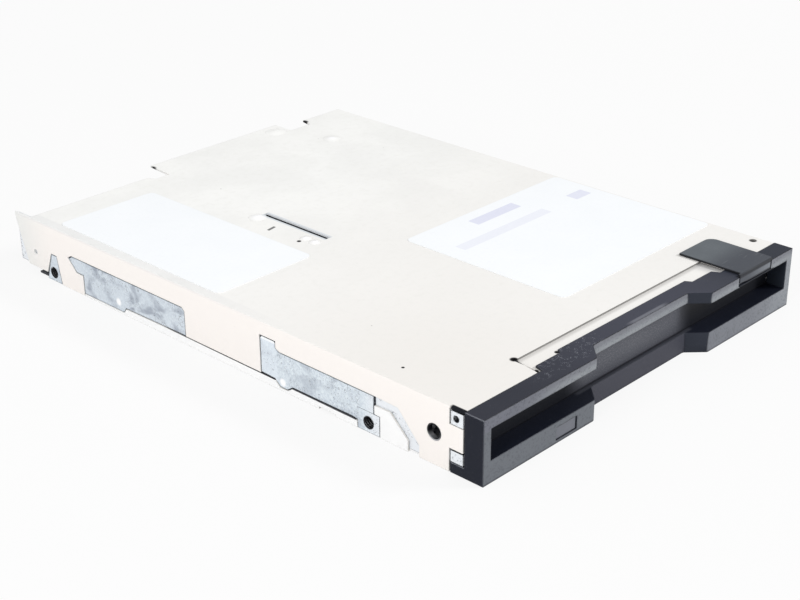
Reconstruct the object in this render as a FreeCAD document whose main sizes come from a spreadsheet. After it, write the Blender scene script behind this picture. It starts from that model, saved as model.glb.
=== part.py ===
import FreeCAD, Part
import math
import operator
import os
from types import SimpleNamespace

import Sketcher

# Slim 3.5-inch floppy disk drive, as fitted in a notebook computer.
# Millimetres. The origin lies under the middle of the drive, on the plane it rests on.
# X runs to the right as one looks at the bezel, Y from the bezel to the rear, Z up.
# The drive is modelled empty: the disk holder is raised, the slide plate latched to the rear.

SIZES = {
    # The whole drive
    "width": 96.0,
    "height": 12.7,
    # Sheets and running gaps
    "cover_sheet": 0.4,
    "frame_sheet": 0.6,
    "deck_sheet": 0.5,
    "thin_sheet": 0.4,
    "board_sheet": 0.6,
    "label_sheet": 0.1,
    "bend_radius": 0.35,
    "wall_gap": 0.1,
    "running_fit": 0.05,
    "press_fit": 0.01,
    # Bezel
    "bezel_depth": 4.2,
    "bezel_left_block": 30.4,
    "bezel_right_block": 29.2,
    "recess_depth": 3.4,
    "jog_radius": 0.8,
    "bezel_end_wall": 1.9,
    "slot_bottom": 4.3,
    "slot_lintel": 2.2,
    "flange_depth": 7.1,
    "flange_step_in": 1.0,
    "foot_height": 2.0,
    "foot_width": 6.0,
    "foot_end": 7.3,
    "light_inset": 22.4,
    "light_z": 1.9,
    "light_width": 5.8,
    "light_height": 2.6,
    "light_set_back": 0.2,
    "lamp_radius": 0.9,
    # Shutter door
    "door_set_back": 1.0,
    "door_drop": 1.9,
    "door_wall": 0.8,
    "door_foot_gap": 0.05,
    "door_end_gap": 0.4,
    "door_swing_gap": 0.7,
    "door_barrel": 0.55,
    "door_pin": 0.4,
    "door_pin_length": 0.8,
    "door_spring": 0.9,
    "door_spring_length": 4.0,
    # Top cover
    "foot_gap": 0.3,
    "strip_inset": 20.0,
    "strip_overlap": 0.7,
    "strip_end": 10.1,
    "strip_slant": 1.0,
    "cover_overhang": 2.2,
    "right_overhang": 3.2,
    "left_overhang": 5.4,
    "tongue_length": 5.8,
    "tongue_left": -10.6,
    "tongue_right": 28.5,
    "latch_notch_width": 4.4,
    "latch_notch_depth": 1.8,
    "rear_step_inset": 12.5,
    "relief_half": 0.5,
    "corner_hole_inset": 2.1,
    "corner_hole_y": 8.0,
    "corner_hole": 0.7,
    "slit_x": -12.4,
    "slit_start": 73.0,
    "slit_length": 19.5,
    "slit_width": 1.2,
    # Side walls: noses, windows and holes
    "nose_bottom": 4.65,
    "nose_top": 9.25,
    "toe_rear": 14.4,
    "toe_top": 2.3,
    "slope_length": 5.0,
    "seam": 1.85,
    "window_top": 7.95,
    "window_corner": 6.0,
    "mid_window_end": 50.5,
    "tall_window_width": 4.4,
    "tall_window_top": 9.85,
    "rear_window_start": 76.8,
    "rear_window_gap": 5.6,
    "side_hole_y": 11.0,
    "side_hole_z": 6.35,
    "side_hole": 1.65,
    "collar_bore": 1.4,
    "pin_hole_inset": 1.1,
    "pin_hole_z": 5.0,
    "pin_hole": 0.6,
    "rear_wall_top": 4.45,
    "rear_wall_foot": 1.5,
    "rear_slant": 3.2,
    "ear_gap": 0.3,
    "ear_length": 2.8,
    "ear_root": 1.1,
    "ear_hole_set": 1.6,
    "ear_hole_drop": 2.0,
    "ear_hole": 0.6,
    # Base cover
    "base_overhang": 1.0,
    "flange_height": 1.7,
    "flange_gap": 5.2,
    "rotor_room": 2.0,
    "base_tab_gap": 2.7,
    "base_tab_length": 8.0,
    "base_tab_top": 6.0,
    "flange_low": 0.5,
    "flange_dip_overlap": 0.5,
    "flange_dip_length": 4.9,
    "flange_step_length": 13.3,
    "drain_start": 34.9,
    "drain_length": 4.3,
    # Threaded lugs
    "lug_front_y": 26.6,
    "lug_rear_inset": 7.4,
    "lug_z": 2.0,
    "lug_thread": 1.25,
    "lug_length": 2.5,
    "lug_half": 2.7,
    "lug_top": 4.2,
    "rear_lug_top": 6.1,
    "panel_gap": 0.2,
    "panel_set_back": 0.1,
    "panel_front": 25.4,
    "boss_half": 2.4,
    "boss_rise": 1.4,
    # Deck and travel of the disk
    "deck_level": 3.4,
    "disk_clearance": 0.7,
    "disk_thickness": 3.3,
    "disk_headroom": 0.15,
    "stroke": 4.5,
    "post_radius": 1.8,
    # Slide plate and holder
    "slide_headroom": 0.4,
    "slide_overhang": 1.0,
    "slide_wall_reach": 25.0,
    "slide_wall_margin": 1.7,
    "arm_opening": 9.6,
    "arm_opening_gap": 7.7,
    "plate_window_left": -30.0,
    "plate_window_right": 26.0,
    "plate_window_front": 26.0,
    "plate_window_length": 34.0,
    "holder_overhang": 6.5,
    "holder_opening": 8.5,
    "lip_width": 2.9,
    "rail_width": 3.5,
    "rail_length": 6.5,
    "hub_window": 13.0,
    "hub_window_shift": 2.0,
    "stud_front_inset": 3.9,
    "stud_rear_inset": 10.0,
    "stud_drop": 0.95,
    "stud_radius": 0.75,
    "spring_inset": 5.3,
    "spring_drop": 3.7,
    "spring_radius": 1.2,
    "spring_wire": 0.3,
    "spring_length": 16.2,
    "anchor_gap": 2.2,
    "hook_half": 1.0,
    # Eject slider
    "tab_inset": 7.7,
    "tab_width": 11.0,
    "tab_rear": 14.8,
    "tab_wall": 0.5,
    "tab_lip_shift": 0.8,
    "tab_lip_inset": 0.6,
    "tab_lip_drop": 1.8,
    "tab_corner": 2.0,
    "tab_bend": 0.4,
    "tab_foot_shift": 4.7,
    "tab_foot_width": 2.6,
    "tab_foot_front": 5.0,
    "tab_foot_length": 2.2,
    "tab_foot_room": 0.4,
    # Labels
    "notice_inset": 2.3,
    "notice_width": 24.8,
    "notice_front": 68.8,
    "notice_length": 51.6,
    "rating_inset": 0.7,
    "rating_width": 49.7,
    "rating_front": 19.2,
    "rating_length": 41.4,
    "label_corner": 1.5,
    # Trigger lever
    "lever_inset": 6.4,
    "lever_rear_inset": 1.0,
    "lever_margin": 1.5,
    "lever_width": 4.0,
    "lever_eye": 3.0,
    "lever_rest": -125.0,
    "lever_pin": 1.0,
    "lever_room": 2.4,
    "lever_gap": 0.15,
    "lever_sheet": 0.5,
    "rivet_head": 0.4,
    "rivet_gap": 0.2,
    # Spindle and motor
    "spindle_y": 51.0,
    "shaft_radius": 1.5,
    "shaft_nose": 1.1,
    "rotor_radius": 20.6,
    "rotor_sheet": 0.4,
    "rotor_holes": 6,
    "rotor_hole": 2.2,
    "rotor_hole_orbit": 9.5,
    "magnet_wall": 1.5,
    "air_gap": 0.7,
    "bearing_radius": 4.5,
    "hub_gap": 0.55,
    "hub_height": 0.55,
    "hub_rim": 0.8,
    "chuck_width": 3.0,
    "chuck_wall": 0.6,
    "chuck_recess": 0.3,
    "drive_pin_orbit": 9.9,
    "drive_pin_radius": 0.8,
    "drive_pin_rise": 0.9,
    "stator_sheet": 0.6,
    "tooth_count": 12,
    "yoke_radius": 8.2,
    "tooth_half": 1.0,
    "tooth_tip_half": 3.4,
    "tooth_tip": 1.1,
    "coil_start": 9.9,
    "coil_half": 2.25,
    "coil_height": 0.4,
    # Boards
    "motor_board_front": 9.0,
    "motor_board_gap": 2.4,
    "motor_board_waist": 26.0,
    "motor_board_shoulder": 22.0,
    "main_board_bottom": 0.8,
    "board_gap": 3.8,
    "board_edge_gap": 0.4,
    "board_screw_inset": 8.0,
    "board_screw_front": 6.0,
    "board_screw_rear": 8.0,
    "board_screw_x": -24.0,
    "board_screw_y": 14.0,
    "fixing_radius": 0.8,
    "fixing_head": 1.5,
    "fixing_head_height": 0.45,
    "board_screw_head": 0.35,
    "chip_inset": 13.0,
    "chip_height": 1.0,
    "controller_side": 10.0,
    "controller_y": 16.0,
    "driver_side": 7.0,
    "driver_y": 20.0,
    "capacitor_width": 1.2,
    "capacitor_length": 2.0,
    "capacitor_height": 0.9,
    "capacitor_pitch": 4.0,
    # Head carriage
    "head_reach": 39.5,
    "head_travel": 14.8,
    "head_half": 1.8,
    "carriage_half": 7.0,
    "carriage_low": 1.6,
    "carriage_high": 4.3,
    "carriage_front": 3.0,
    "carriage_rear": 0.5,
    "upright_length": 2.6,
    "upright_ear": 1.4,
    "vane_length": 5.0,
    "bush_length": 13.0,
    "bush_set": 2.0,
    "follower_length": 3.8,
    "follower_half": 2.2,
    "follower_set": 9.7,
    "rod_x": -12.0,
    "rod_z": 3.0,
    "rod_radius": 1.0,
    "clamp_length": 3.0,
    "clamp_front_gap": 0.7,
    "clamp_rear_gap": 2.5,
    "clamp_wing": 8.4,
    "rear_room": 8.0,
    "screw_x": 14.0,
    "screw_radius": 0.9,
    "screw_margin": 2.2,
    "journal_radius": 0.6,
    "motor_radius": 3.0,
    "motor_floor_gap": 0.2,
    "motor_gap": 1.2,
    "motor_length": 13.0,
    "motor_end_wall": 2.0,
    "journal_end_room": 0.5,
    "bracket_sheet": 0.6,
    "bracket_reach": 9.0,
    "bracket_web": 2.4,
    "bracket_rise": 2.8,
    "arm_length": 24.0,
    "arm_half": 4.1,
    "arm_drop": 4.15,
    "arm_sheet": 0.5,
    "arm_rest": -8.4,
    "arm_riser_set": 4.0,
    "arm_pin": 0.6,
    "arm_eye": 1.1,
    "flex_width": 6.0,
    "flex_skin": 0.12,
    "sensor_gap": 2.9,
    "sensor_length": 3.6,
    "sensor_height": 3.6,
    # Switches and rear connector
    "switch_inset": 5.4,
    "switch_pitch": 6.0,
    "switch_y": 14.5,
    "switch_side": 3.6,
    "plunger_radius": 0.6,
    "plunger_travel": 1.0,
    "connector_inset": 6.0,
    "connector_length": 6.5,
    "contact_count": 26,
    "contact_pitch": 1.0,
    "lock_travel": 1.0,
    "lock_arm": 5.0,
}

doc = FreeCAD.newDocument("FloppyDrive")
sheet = doc.addObject("Spreadsheet::Sheet", "Sizes")
for row, (name, number) in enumerate(SIZES.items(), start=1):
    sheet.set(f"A{row}", name)
    sheet.set(f"B{row}", str(number))
    sheet.setAlias(f"B{row}", name)
doc.recompute()


# Lengths bound to the sheet


SIGNS = {"+": operator.add, "-": operator.sub, "*": operator.mul, "/": operator.truediv}


class Size:
    """A length worked out from the sheet: its number now, and the expression that keeps it bound."""

    def __init__(self, number, text):
        self.number = number
        self.text = text

    def __add__(self, other):
        return combine(self, "+", other)

    def __radd__(self, other):
        return combine(other, "+", self)

    def __sub__(self, other):
        return combine(self, "-", other)

    def __rsub__(self, other):
        return combine(other, "-", self)

    def __mul__(self, other):
        return combine(self, "*", other)

    def __rmul__(self, other):
        return combine(other, "*", self)

    def __truediv__(self, other):
        return combine(self, "/", other)

    def __neg__(self):
        return combine(0, "-", self)


def sized(value):
    """The value as a Size, whether it is one already or a plain number."""
    return value if isinstance(value, Size) else Size(float(value), repr(float(value)))


def combine(left, sign, right):
    left, right = sized(left), sized(right)
    return Size(SIGNS[sign](left.number, right.number), f"({left.text} {sign} {right.text})")


def diagonal(across, up):
    """The length of the slanted side over two sides at a right angle."""
    return Size(math.hypot(across.number, up.number), f"sqrt({across.text} ^ 2 + {up.text} ^ 2)")


def turned(length, function, angle):
    """The length times the cosine or sine of an angle in degrees."""
    share = getattr(math, function)(math.radians(angle))
    return Size(length.number * share, f"({length.text} * {function}({angle} deg))")


s = SimpleNamespace(**{name: Size(float(number), f"Sizes.{name}") for name, number in SIZES.items()})


# Outlines drawn in a sketch


class Polygon:
    """A closed outline with straight sides, each corner held at its two distances from the origin."""

    def __init__(self, *corners):
        self.corners = [(sized(across), sized(up)) for across, up in corners]

    def draw(self, sketch):
        first = sketch.GeometryCount
        points = [FreeCAD.Vector(across.number, up.number, 0) for across, up in self.corners]
        count = len(points)
        sketch.addGeometry([Part.LineSegment(points[i], points[(i + 1) % count]) for i in range(count)])
        for i, (across, up) in enumerate(self.corners):
            following = first + (i + 1) % count
            sketch.addConstraint(Sketcher.Constraint("Coincident", first + i, 2, following, 1))
            hold(sketch, ("DistanceX", -1, 1, first + i, 1), across)
            hold(sketch, ("DistanceY", -1, 1, first + i, 1), up)


class Circle:
    """A round outline, held by its centre and radius."""

    def __init__(self, across, up, radius):
        self.across, self.up, self.radius = sized(across), sized(up), sized(radius)

    def draw(self, sketch):
        centre = FreeCAD.Vector(self.across.number, self.up.number, 0)
        index = sketch.GeometryCount
        sketch.addGeometry(Part.Circle(centre, FreeCAD.Vector(0, 0, 1), self.radius.number))
        hold(sketch, ("Radius", index), self.radius)
        hold(sketch, ("DistanceX", -1, 1, index, 3), self.across)
        hold(sketch, ("DistanceY", -1, 1, index, 3), self.up)


def Rectangle(left, right, low, high):
    return Polygon((left, low), (right, low), (right, high), (left, high))


def hold(sketch, constraint, size):
    """Add a dimension to the sketch and bind it to the sheet."""
    index = sketch.addConstraint(Sketcher.Constraint(*constraint, size.number))
    sketch.setExpression(f"Constraints[{index}]", size.text)


# Pieces

pieces = []


class Piece:
    """One physical piece: a body whose features are drawn on its own origin planes.

    Each feature fills the span from low to high along the axis square to its plane. A sketch on
    XY looks down Z, one on YZ looks along X with Y to its right, and one on XZ has X to its right
    and looks along Y, which its normal points against.
    """

    def __init__(self, label):
        self.body = doc.addObject("PartDesign::Body", label)
        self.body.Label = label
        self.label = label
        pieces.append(self.body)

    def sketch(self, plane, level, outlines):
        sketch = self.body.newObject("Sketcher::SketchObject", f"{self.label}_outline")
        origin = [f for f in self.body.Origin.OriginFeatures if f.Role == f"{plane}_Plane"]
        sketch.AttachmentSupport = [(origin[0], "")]
        sketch.MapMode = "FlatFace"
        sketch.setExpression("AttachmentOffset.Base.z", sized(level).text)
        for outline in outlines:
            outline.draw(sketch)
        return sketch

    def feature(self, kind, sketch, length):
        feature = self.body.newObject(f"PartDesign::{kind}", f"{self.label}_{kind.lower()}")
        feature.Profile = sketch
        feature.setExpression("Length", length.text)
        return feature

    def add(self, plane, low, high, *outlines):
        low, high = sized(low), sized(high)
        level = -high if plane == "XZ" else low
        return self.feature("Pad", self.sketch(plane, level, outlines), high - low)

    def cut(self, plane, low, high, *outlines):
        low, high = sized(low), sized(high)
        level = -low if plane == "XZ" else high
        return self.feature("Pocket", self.sketch(plane, level, outlines), high - low)

    def turn(self, *outline):
        """Add a round piece: an outline of radius and height, turned once round the body's Z axis."""
        sketch = self.sketch("XZ", 0, [Polygon(*outline)])
        feature = self.body.newObject("PartDesign::Revolution", f"{self.label}_revolution")
        feature.Profile = sketch
        feature.ReferenceAxis = (sketch, ["V_Axis"])
        feature.Angle = 360
        return feature

    def round_copies(self, feature, count, level=None):
        """Repeat a feature evenly round the body's Z axis, which a level feature's sketch is square to."""
        pattern = self.body.newObject("PartDesign::PolarPattern", f"{self.label}_copies")
        pattern.Originals = [feature]
        pattern.Axis = ((level or feature).Profile[0], ["N_Axis"])
        pattern.Angle = 360
        pattern.setExpression("Occurrences", count.text)
        self.body.Tip = pattern
        return pattern

    def round_off(self, radius, chosen):
        """Round the edges that the function picks."""
        self.body.recompute(True)
        base = self.body.Tip
        names = [f"Edge{i}" for i, edge in enumerate(base.Shape.Edges, start=1) if chosen(edge)]
        fillet = self.body.newObject("PartDesign::Fillet", f"{self.label}_fillet")
        fillet.Base = (base, names)
        fillet.setExpression("Radius", sized(radius).text)
        return fillet

    def place(self, x, y, z, axis=None, angle=0):
        if axis is not None:
            turned = FreeCAD.Rotation(FreeCAD.Vector(*axis), sized(angle).number)
            self.body.Placement = FreeCAD.Placement(FreeCAD.Vector(), turned)
        for letter, size in zip("xyz", (x, y, z)):
            self.body.setExpression(f"Placement.Base.{letter}", sized(size).text)


def group(label, members):
    """Identical pieces kept as separate solids under one name."""
    holder = doc.addObject("Part::Compound", label)
    holder.Label = label
    holder.Links = members
    pieces.append(holder)
    return holder


def cylinder(name, centre, low, high, radius, axis="Z"):
    """A plain round bar along Z, or along X or Y, between two levels of that axis."""
    bar = doc.addObject("Part::Cylinder", name)
    low, high = sized(low), sized(high)
    bar.setExpression("Radius", sized(radius).text)
    bar.setExpression("Height", (high - low).text)
    across, up = (sized(value) for value in centre)
    if axis == "X":
        bar.Placement.Rotation = FreeCAD.Rotation(FreeCAD.Vector(0, 1, 0), 90)
        spot = (low, across, up)
    elif axis == "Y":
        bar.Placement.Rotation = FreeCAD.Rotation(FreeCAD.Vector(1, 0, 0), -90)
        spot = (across, low, up)
    else:
        spot = (across, up, low)
    for letter, size in zip("xyz", spot):
        bar.setExpression(f"Placement.Base.{letter}", size.text)
    return bar


def box(name, x_span, y_span, z_span):
    block = doc.addObject("Part::Box", name)
    for side, letter, (low, high) in zip(("Length", "Width", "Height"), "xyz", (x_span, y_span, z_span)):
        block.setExpression(side, (sized(high) - low).text)
        block.setExpression(f"Placement.Base.{letter}", sized(low).text)
    return block


def joined(name, *members):
    whole = doc.addObject("Part::MultiFuse", name)
    whole.Shapes = list(members)
    return whole


def pierced(name, base, tool):
    """The base with the tool's shape taken out."""
    result = doc.addObject("Part::Cut", name)
    result.Base = base
    result.Tool = tool
    return result


def keep(piece, label):
    """Name a finished piece."""
    piece.Label = label
    pieces.append(piece)
    return piece


def spans(inner, outer):
    """The same stretch of X on the left and on the right, as (side, low, high)."""
    return ((-1, -outer, -inner), (1, inner, outer))


# Levels that the pieces share

half = s.width / 2
cover_inner = half - s.cover_sheet
frame_outer = cover_inner - s.wall_gap
frame_inner = frame_outer - s.frame_sheet
slide_outer = frame_inner - s.wall_gap
slide_inner = slide_outer - s.thin_sheet
holder_outer = slide_inner - s.wall_gap
holder_inner = holder_outer - s.thin_sheet

base_top = s.cover_sheet
deck_top = s.deck_level + s.deck_sheet
main_board_top = s.main_board_bottom + s.board_sheet
under_cover = s.height - s.cover_sheet
strip_bottom = under_cover - s.cover_sheet
slide_top = under_cover - s.slide_headroom
slide_bottom = slide_top - s.thin_sheet
lever_top = slide_bottom - s.rivet_gap - s.rivet_head
lever_bottom = lever_top - s.lever_sheet
holder_top = lever_bottom - s.lever_gap
holder_ceiling = holder_top - s.thin_sheet
raised_bottom = holder_ceiling - s.disk_headroom - s.disk_thickness
lip_top = raised_bottom - s.wall_gap
lip_bottom = lip_top - s.thin_sheet
disk_bottom = deck_top + s.disk_clearance
disk_middle = disk_bottom + s.disk_thickness / 2
lift = raised_bottom - disk_bottom
stud_z = holder_ceiling - s.stud_drop
spring_z = slide_top - s.spring_drop
arm_z = under_cover - s.arm_drop
plunger_top = disk_bottom + s.plunger_travel

rotor_top = s.deck_level - s.board_sheet - s.wall_gap
stator_top = rotor_top - s.coil_height
stator_bottom = stator_top - s.stator_sheet
rotor_bottom = stator_bottom - s.coil_height - s.rotor_sheet - 0.2
hub_bottom = deck_top + s.hub_gap
hub_top = hub_bottom + s.hub_height
shaft_top = hub_top + s.shaft_nose
screw_z = s.motor_radius + s.motor_floor_gap

# Distances behind the bezel's face

cover_front = s.bezel_depth + s.wall_gap
wall_front = s.foot_end + s.foot_gap
door_y = s.bezel_depth + s.door_set_back
door_z = s.height - s.door_drop
door_lowest = s.slot_bottom + s.door_foot_gap
slide_front = door_y + door_z - door_lowest + s.door_swing_gap
slide_wall_rear = s.spindle_y + s.slide_wall_reach
stud_places = (slide_front + s.stud_front_inset, slide_wall_rear - s.stud_rear_inset)
head_y = s.spindle_y + s.head_reach
pivot_y = head_y + s.arm_length
follower_rear = pivot_y - s.follower_set
follower_front = follower_rear - s.follower_length
bush_rear = pivot_y - s.bush_set
bush_front = bush_rear - s.bush_length
motor_front = follower_rear + s.motor_gap
bracket_front = follower_front - s.head_travel - s.screw_margin
clamp_front_y = bush_front - s.head_travel - s.clamp_front_gap - s.clamp_length / 2
clamp_rear_y = bush_rear + s.clamp_rear_gap + s.clamp_length / 2
frame_rear = clamp_rear_y + s.clamp_length / 2 + s.rear_room
cover_rear = frame_rear + s.cover_overhang
base_rear = frame_rear + s.base_overhang
cover_rear_right = cover_rear + s.right_overhang
wall_rear = cover_rear + s.left_overhang
depth = cover_rear + s.tongue_length
lug_rear_y = cover_rear - s.lug_rear_inset
rear_window_end = lug_rear_y - s.rear_window_gap
flange_rear = rear_window_end - s.flange_gap
holder_rear = head_y + s.holder_overhang
slide_rear = holder_rear + s.slide_overhang
anchor_y = slide_rear + s.anchor_gap
slide_arm_rear = anchor_y + s.frame_sheet + s.spring_length + s.thin_sheet
arm_opening_front = head_y - s.head_travel - s.arm_opening_gap
motor_board_rear = head_y - s.head_travel - s.carriage_front - 0.5
main_board_front = motor_board_rear + s.board_gap

front = -depth / 2


def behind(distance):
    """A place along Y, given as its distance behind the bezel's face."""
    return front + distance


# Distances from the middle

slot_half = half - s.bezel_end_wall
door_half = slot_half - s.door_end_gap
door_spring_left = -door_half + s.door_pin_length
door_spring_right = door_spring_left + s.door_spring_length
light_x = -half + s.light_inset
tab_right = half - s.tab_inset
tab_left = tab_right - s.tab_width
tab_foot_left = tab_left + s.tab_foot_shift
tab_foot_right = tab_foot_left + s.tab_foot_width
strip_left = -half + s.strip_inset
strip_right = tab_left + s.strip_overlap
rail_right = s.holder_opening + s.rail_width
spring_x = slide_outer - s.spring_inset
lever_x = holder_inner - s.lever_inset
lever_y = holder_rear - s.lever_rear_inset
lever_length = lever_x - rail_right - s.lever_margin
switch_x = holder_inner - s.switch_inset
stator_radius = s.rotor_radius - s.rotor_sheet - 0.2 - s.magnet_wall - s.air_gap
hub_radius = s.drive_pin_orbit + s.drive_pin_radius + s.hub_rim
chuck_outer = s.drive_pin_orbit - s.drive_pin_radius - s.chuck_wall
chuck_inner = chuck_outer - s.chuck_width


spindle_at = behind(s.spindle_y)
tab_foot_front = behind(s.tab_rear - s.tab_foot_front)
head_at = behind(head_y)
pivot_at = behind(pivot_y)


def wall_outline(*points):
    """An outline on a side wall from distances behind the bezel's face and heights."""
    return Polygon(*((behind(distance), height) for distance, height in points))


# Shell of the drive


def make_top_cover():
    """Painted sheet: a top with a stepped front strip, and two side walls cut out at their foot."""
    cover = Piece("top_cover")
    notch_right = s.tongue_left
    notch_left = notch_right - s.latch_notch_width
    notch_front = cover_rear - s.latch_notch_depth
    step_x = half - s.rear_step_inset
    top = Polygon(
        (-half, behind(cover_front)),
        (strip_left - s.strip_slant, behind(cover_front)),
        (strip_left, behind(s.strip_end)),
        (strip_right, behind(s.strip_end)),
        (strip_right, behind(cover_front)),
        (half, behind(cover_front)),
        (half, behind(cover_rear_right)),
        (step_x, behind(cover_rear_right)),
        (step_x - 0.7, behind(cover_rear)),
        (s.tongue_right, behind(cover_rear)),
        (s.tongue_right, behind(depth)),
        (s.tongue_left, behind(depth)),
        (notch_right - 0.6, behind(notch_front)),
        (notch_left, behind(notch_front)),
        (notch_left - 1, behind(cover_rear)),
        (-half, behind(cover_rear)),
    )
    cover.add("XY", under_cover, s.height, top)
    strip_front = behind(s.bezel_depth + s.cover_sheet)
    strip_rear = behind(s.strip_end + s.cover_sheet)
    strip = Rectangle(strip_left + s.wall_gap, strip_right - s.wall_gap, strip_front, strip_rear)
    cover.add("XY", strip_bottom, under_cover, strip)
    slope_rear = s.toe_rear + s.slope_length
    tall_window_end = s.mid_window_end + s.tall_window_width
    nose = cover_front + 0.2
    for side, low, high in spans(cover_inner, half):
        rear = wall_rear if side < 0 else cover_rear_right
        wall = wall_outline(
            (wall_front, 0),
            (s.toe_rear, 0),
            (s.toe_rear, s.toe_top),
            (slope_rear, s.window_top - 0.2),
            (slope_rear + s.window_corner, s.window_top),
            (s.mid_window_end - 1, s.window_top),
            (s.mid_window_end, s.window_top + 0.5),
            (s.mid_window_end, s.tall_window_top),
            (tall_window_end, s.tall_window_top),
            (tall_window_end, s.seam),
            (s.rear_window_start, s.seam),
            (s.rear_window_start, s.window_top - 0.7),
            (s.rear_window_start + 0.8, s.window_top),
            (rear_window_end - 1.4, s.window_top),
            (rear_window_end, s.window_top - 0.7),
            (rear_window_end - 2.8, s.rear_wall_top),
            (flange_rear + 0.2, s.rear_wall_top),
            (flange_rear + 0.2, 0),
            (lug_rear_y - s.lug_half - 0.1, 0),
            (lug_rear_y - 1.5, s.rear_lug_top + 0.2),
            (lug_rear_y + 0.5, s.rear_lug_top + 0.2),
            (lug_rear_y + s.lug_half - 0.3, s.rear_wall_foot),
            (rear - s.rear_slant - 0.4, s.rear_wall_foot),
            (rear - 0.4, s.height - 1.8),
            (rear, s.height),
            (wall_front, s.height),
            (wall_front, s.nose_top),
            (nose, s.nose_top),
            (nose, s.nose_bottom),
            (wall_front, s.nose_bottom),
        )
        hole = Circle(behind(s.side_hole_y), s.side_hole_z, s.side_hole)
        pin_hole = Circle(behind(cover_rear - s.pin_hole_inset), s.pin_hole_z, s.pin_hole)
        cover.add("YZ", low, high, wall, hole, pin_hole)
    slit = Rectangle(
        s.slit_x - s.slit_width / 2,
        s.slit_x + s.slit_width / 2,
        behind(s.slit_start),
        behind(s.slit_start + s.slit_length),
    )
    corner_hole = Circle(half - s.corner_hole_inset, behind(s.corner_hole_y), s.corner_hole)
    relief = Rectangle(
        strip_left - s.relief_half,
        strip_left + s.relief_half,
        behind(s.strip_end - s.relief_half / 5),
        behind(s.strip_end + s.relief_half),
    )
    slider_slot = Rectangle(
        tab_foot_left - s.tab_foot_room,
        tab_foot_right + s.tab_foot_room,
        tab_foot_front - s.stroke - s.tab_foot_room,
        tab_foot_front + s.tab_foot_length + s.tab_foot_room,
    )
    cover.cut("XY", strip_bottom, s.height, slit, corner_hole, slider_slot, relief)

    def on_bend(edge):
        corner = (half.number, s.height.number)
        return all(math.dist((abs(vertex.X), vertex.Z), corner) < 0.001 for vertex in edge.Vertexes)

    cover.round_off(s.bend_radius, on_bend)


def make_base_cover():
    """Painted sheet under the drive, with low side flanges and a round window for the rotor."""
    base = Piece("base_cover")
    lug_side = frame_outer - s.wall_gap
    lug_start = s.lug_front_y - s.lug_half - 0.2
    lug_end = s.lug_front_y + s.lug_half + 0.1
    tab_front = s.toe_rear + s.base_tab_gap
    tab_rear = tab_front + s.base_tab_length
    right_side = [
        (lug_side, wall_front),
        (lug_side, tab_front),
        (half, tab_front),
        (half, lug_start),
        (lug_side, lug_start),
        (lug_side, lug_end),
        (half, lug_end),
        (half, flange_rear),
        (lug_side, flange_rear),
        (lug_side, base_rear),
    ]
    left_side = [(-x, y) for x, y in reversed(right_side)]
    outline = Polygon(*((x, behind(y)) for x, y in right_side + left_side))
    window = Circle(0, spindle_at, s.rotor_radius + s.rotor_room)
    motor_window = Rectangle(
        s.screw_x - s.motor_radius - 0.5,
        s.screw_x + s.motor_radius + 0.5,
        behind(motor_front - 1),
        behind(motor_front + s.motor_length + 1),
    )
    base.add("XY", 0, base_top, outline, window, motor_window)
    flange_step = flange_rear - s.flange_step_length
    dip_end = s.mid_window_end + s.flange_dip_overlap
    dip_start = dip_end - s.flange_dip_length
    for _, low, high in spans(cover_inner, half):
        tab = wall_outline(
            (tab_front, 0),
            (lug_start, 0),
            (lug_start, s.lug_top + 0.05),
            (tab_rear, s.lug_top + 0.15),
            (tab_rear, s.base_tab_top),
            (tab_front + 4.3, s.base_tab_top + 0.1),
            (tab_front, s.toe_top - 0.2),
        )
        flange = wall_outline(
            (lug_end, 0),
            (flange_rear, 0),
            (flange_rear, base_top - 0.1),
            (flange_step, base_top - 0.1),
            (flange_step - 0.8, s.flange_height - 0.3),
            (s.rear_window_start, s.flange_height),
            (dip_end, s.flange_height),
            (dip_end - 1.4, s.flange_low),
            (dip_start + 1.5, s.flange_low),
            (dip_start, s.flange_height - 0.2),
            (lug_end + 0.9, s.flange_height - 0.1),
            (lug_end, s.flange_height - 0.45),
        )
        base.add("YZ", low, high, tab)
        base.add("YZ", low, high, flange)
    drain = Rectangle(behind(s.drain_start), behind(s.drain_start + s.drain_length), 0, base_top + 0.05)
    for _, low, high in spans(frame_inner, half):
        base.cut("YZ", low, high, drain)


def cam_slot(start_across, start_up, across, up, half_width):
    """A straight slot from a start to a start plus (across, up), square-ended past both."""
    length = diagonal(across, up)
    along = (across / length * half_width, up / length * half_width)
    beside = (-up / length * half_width, across / length * half_width)
    low = (start_across - along[0], start_up - along[1])
    high = (start_across + across + along[0], start_up + up + along[1])
    return Polygon(
        (low[0] + beside[0], low[1] + beside[1]),
        (low[0] - beside[0], low[1] - beside[1]),
        (high[0] - beside[0], high[1] - beside[1]),
        (high[0] + beside[0], high[1] + beside[1]),
    )


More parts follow.
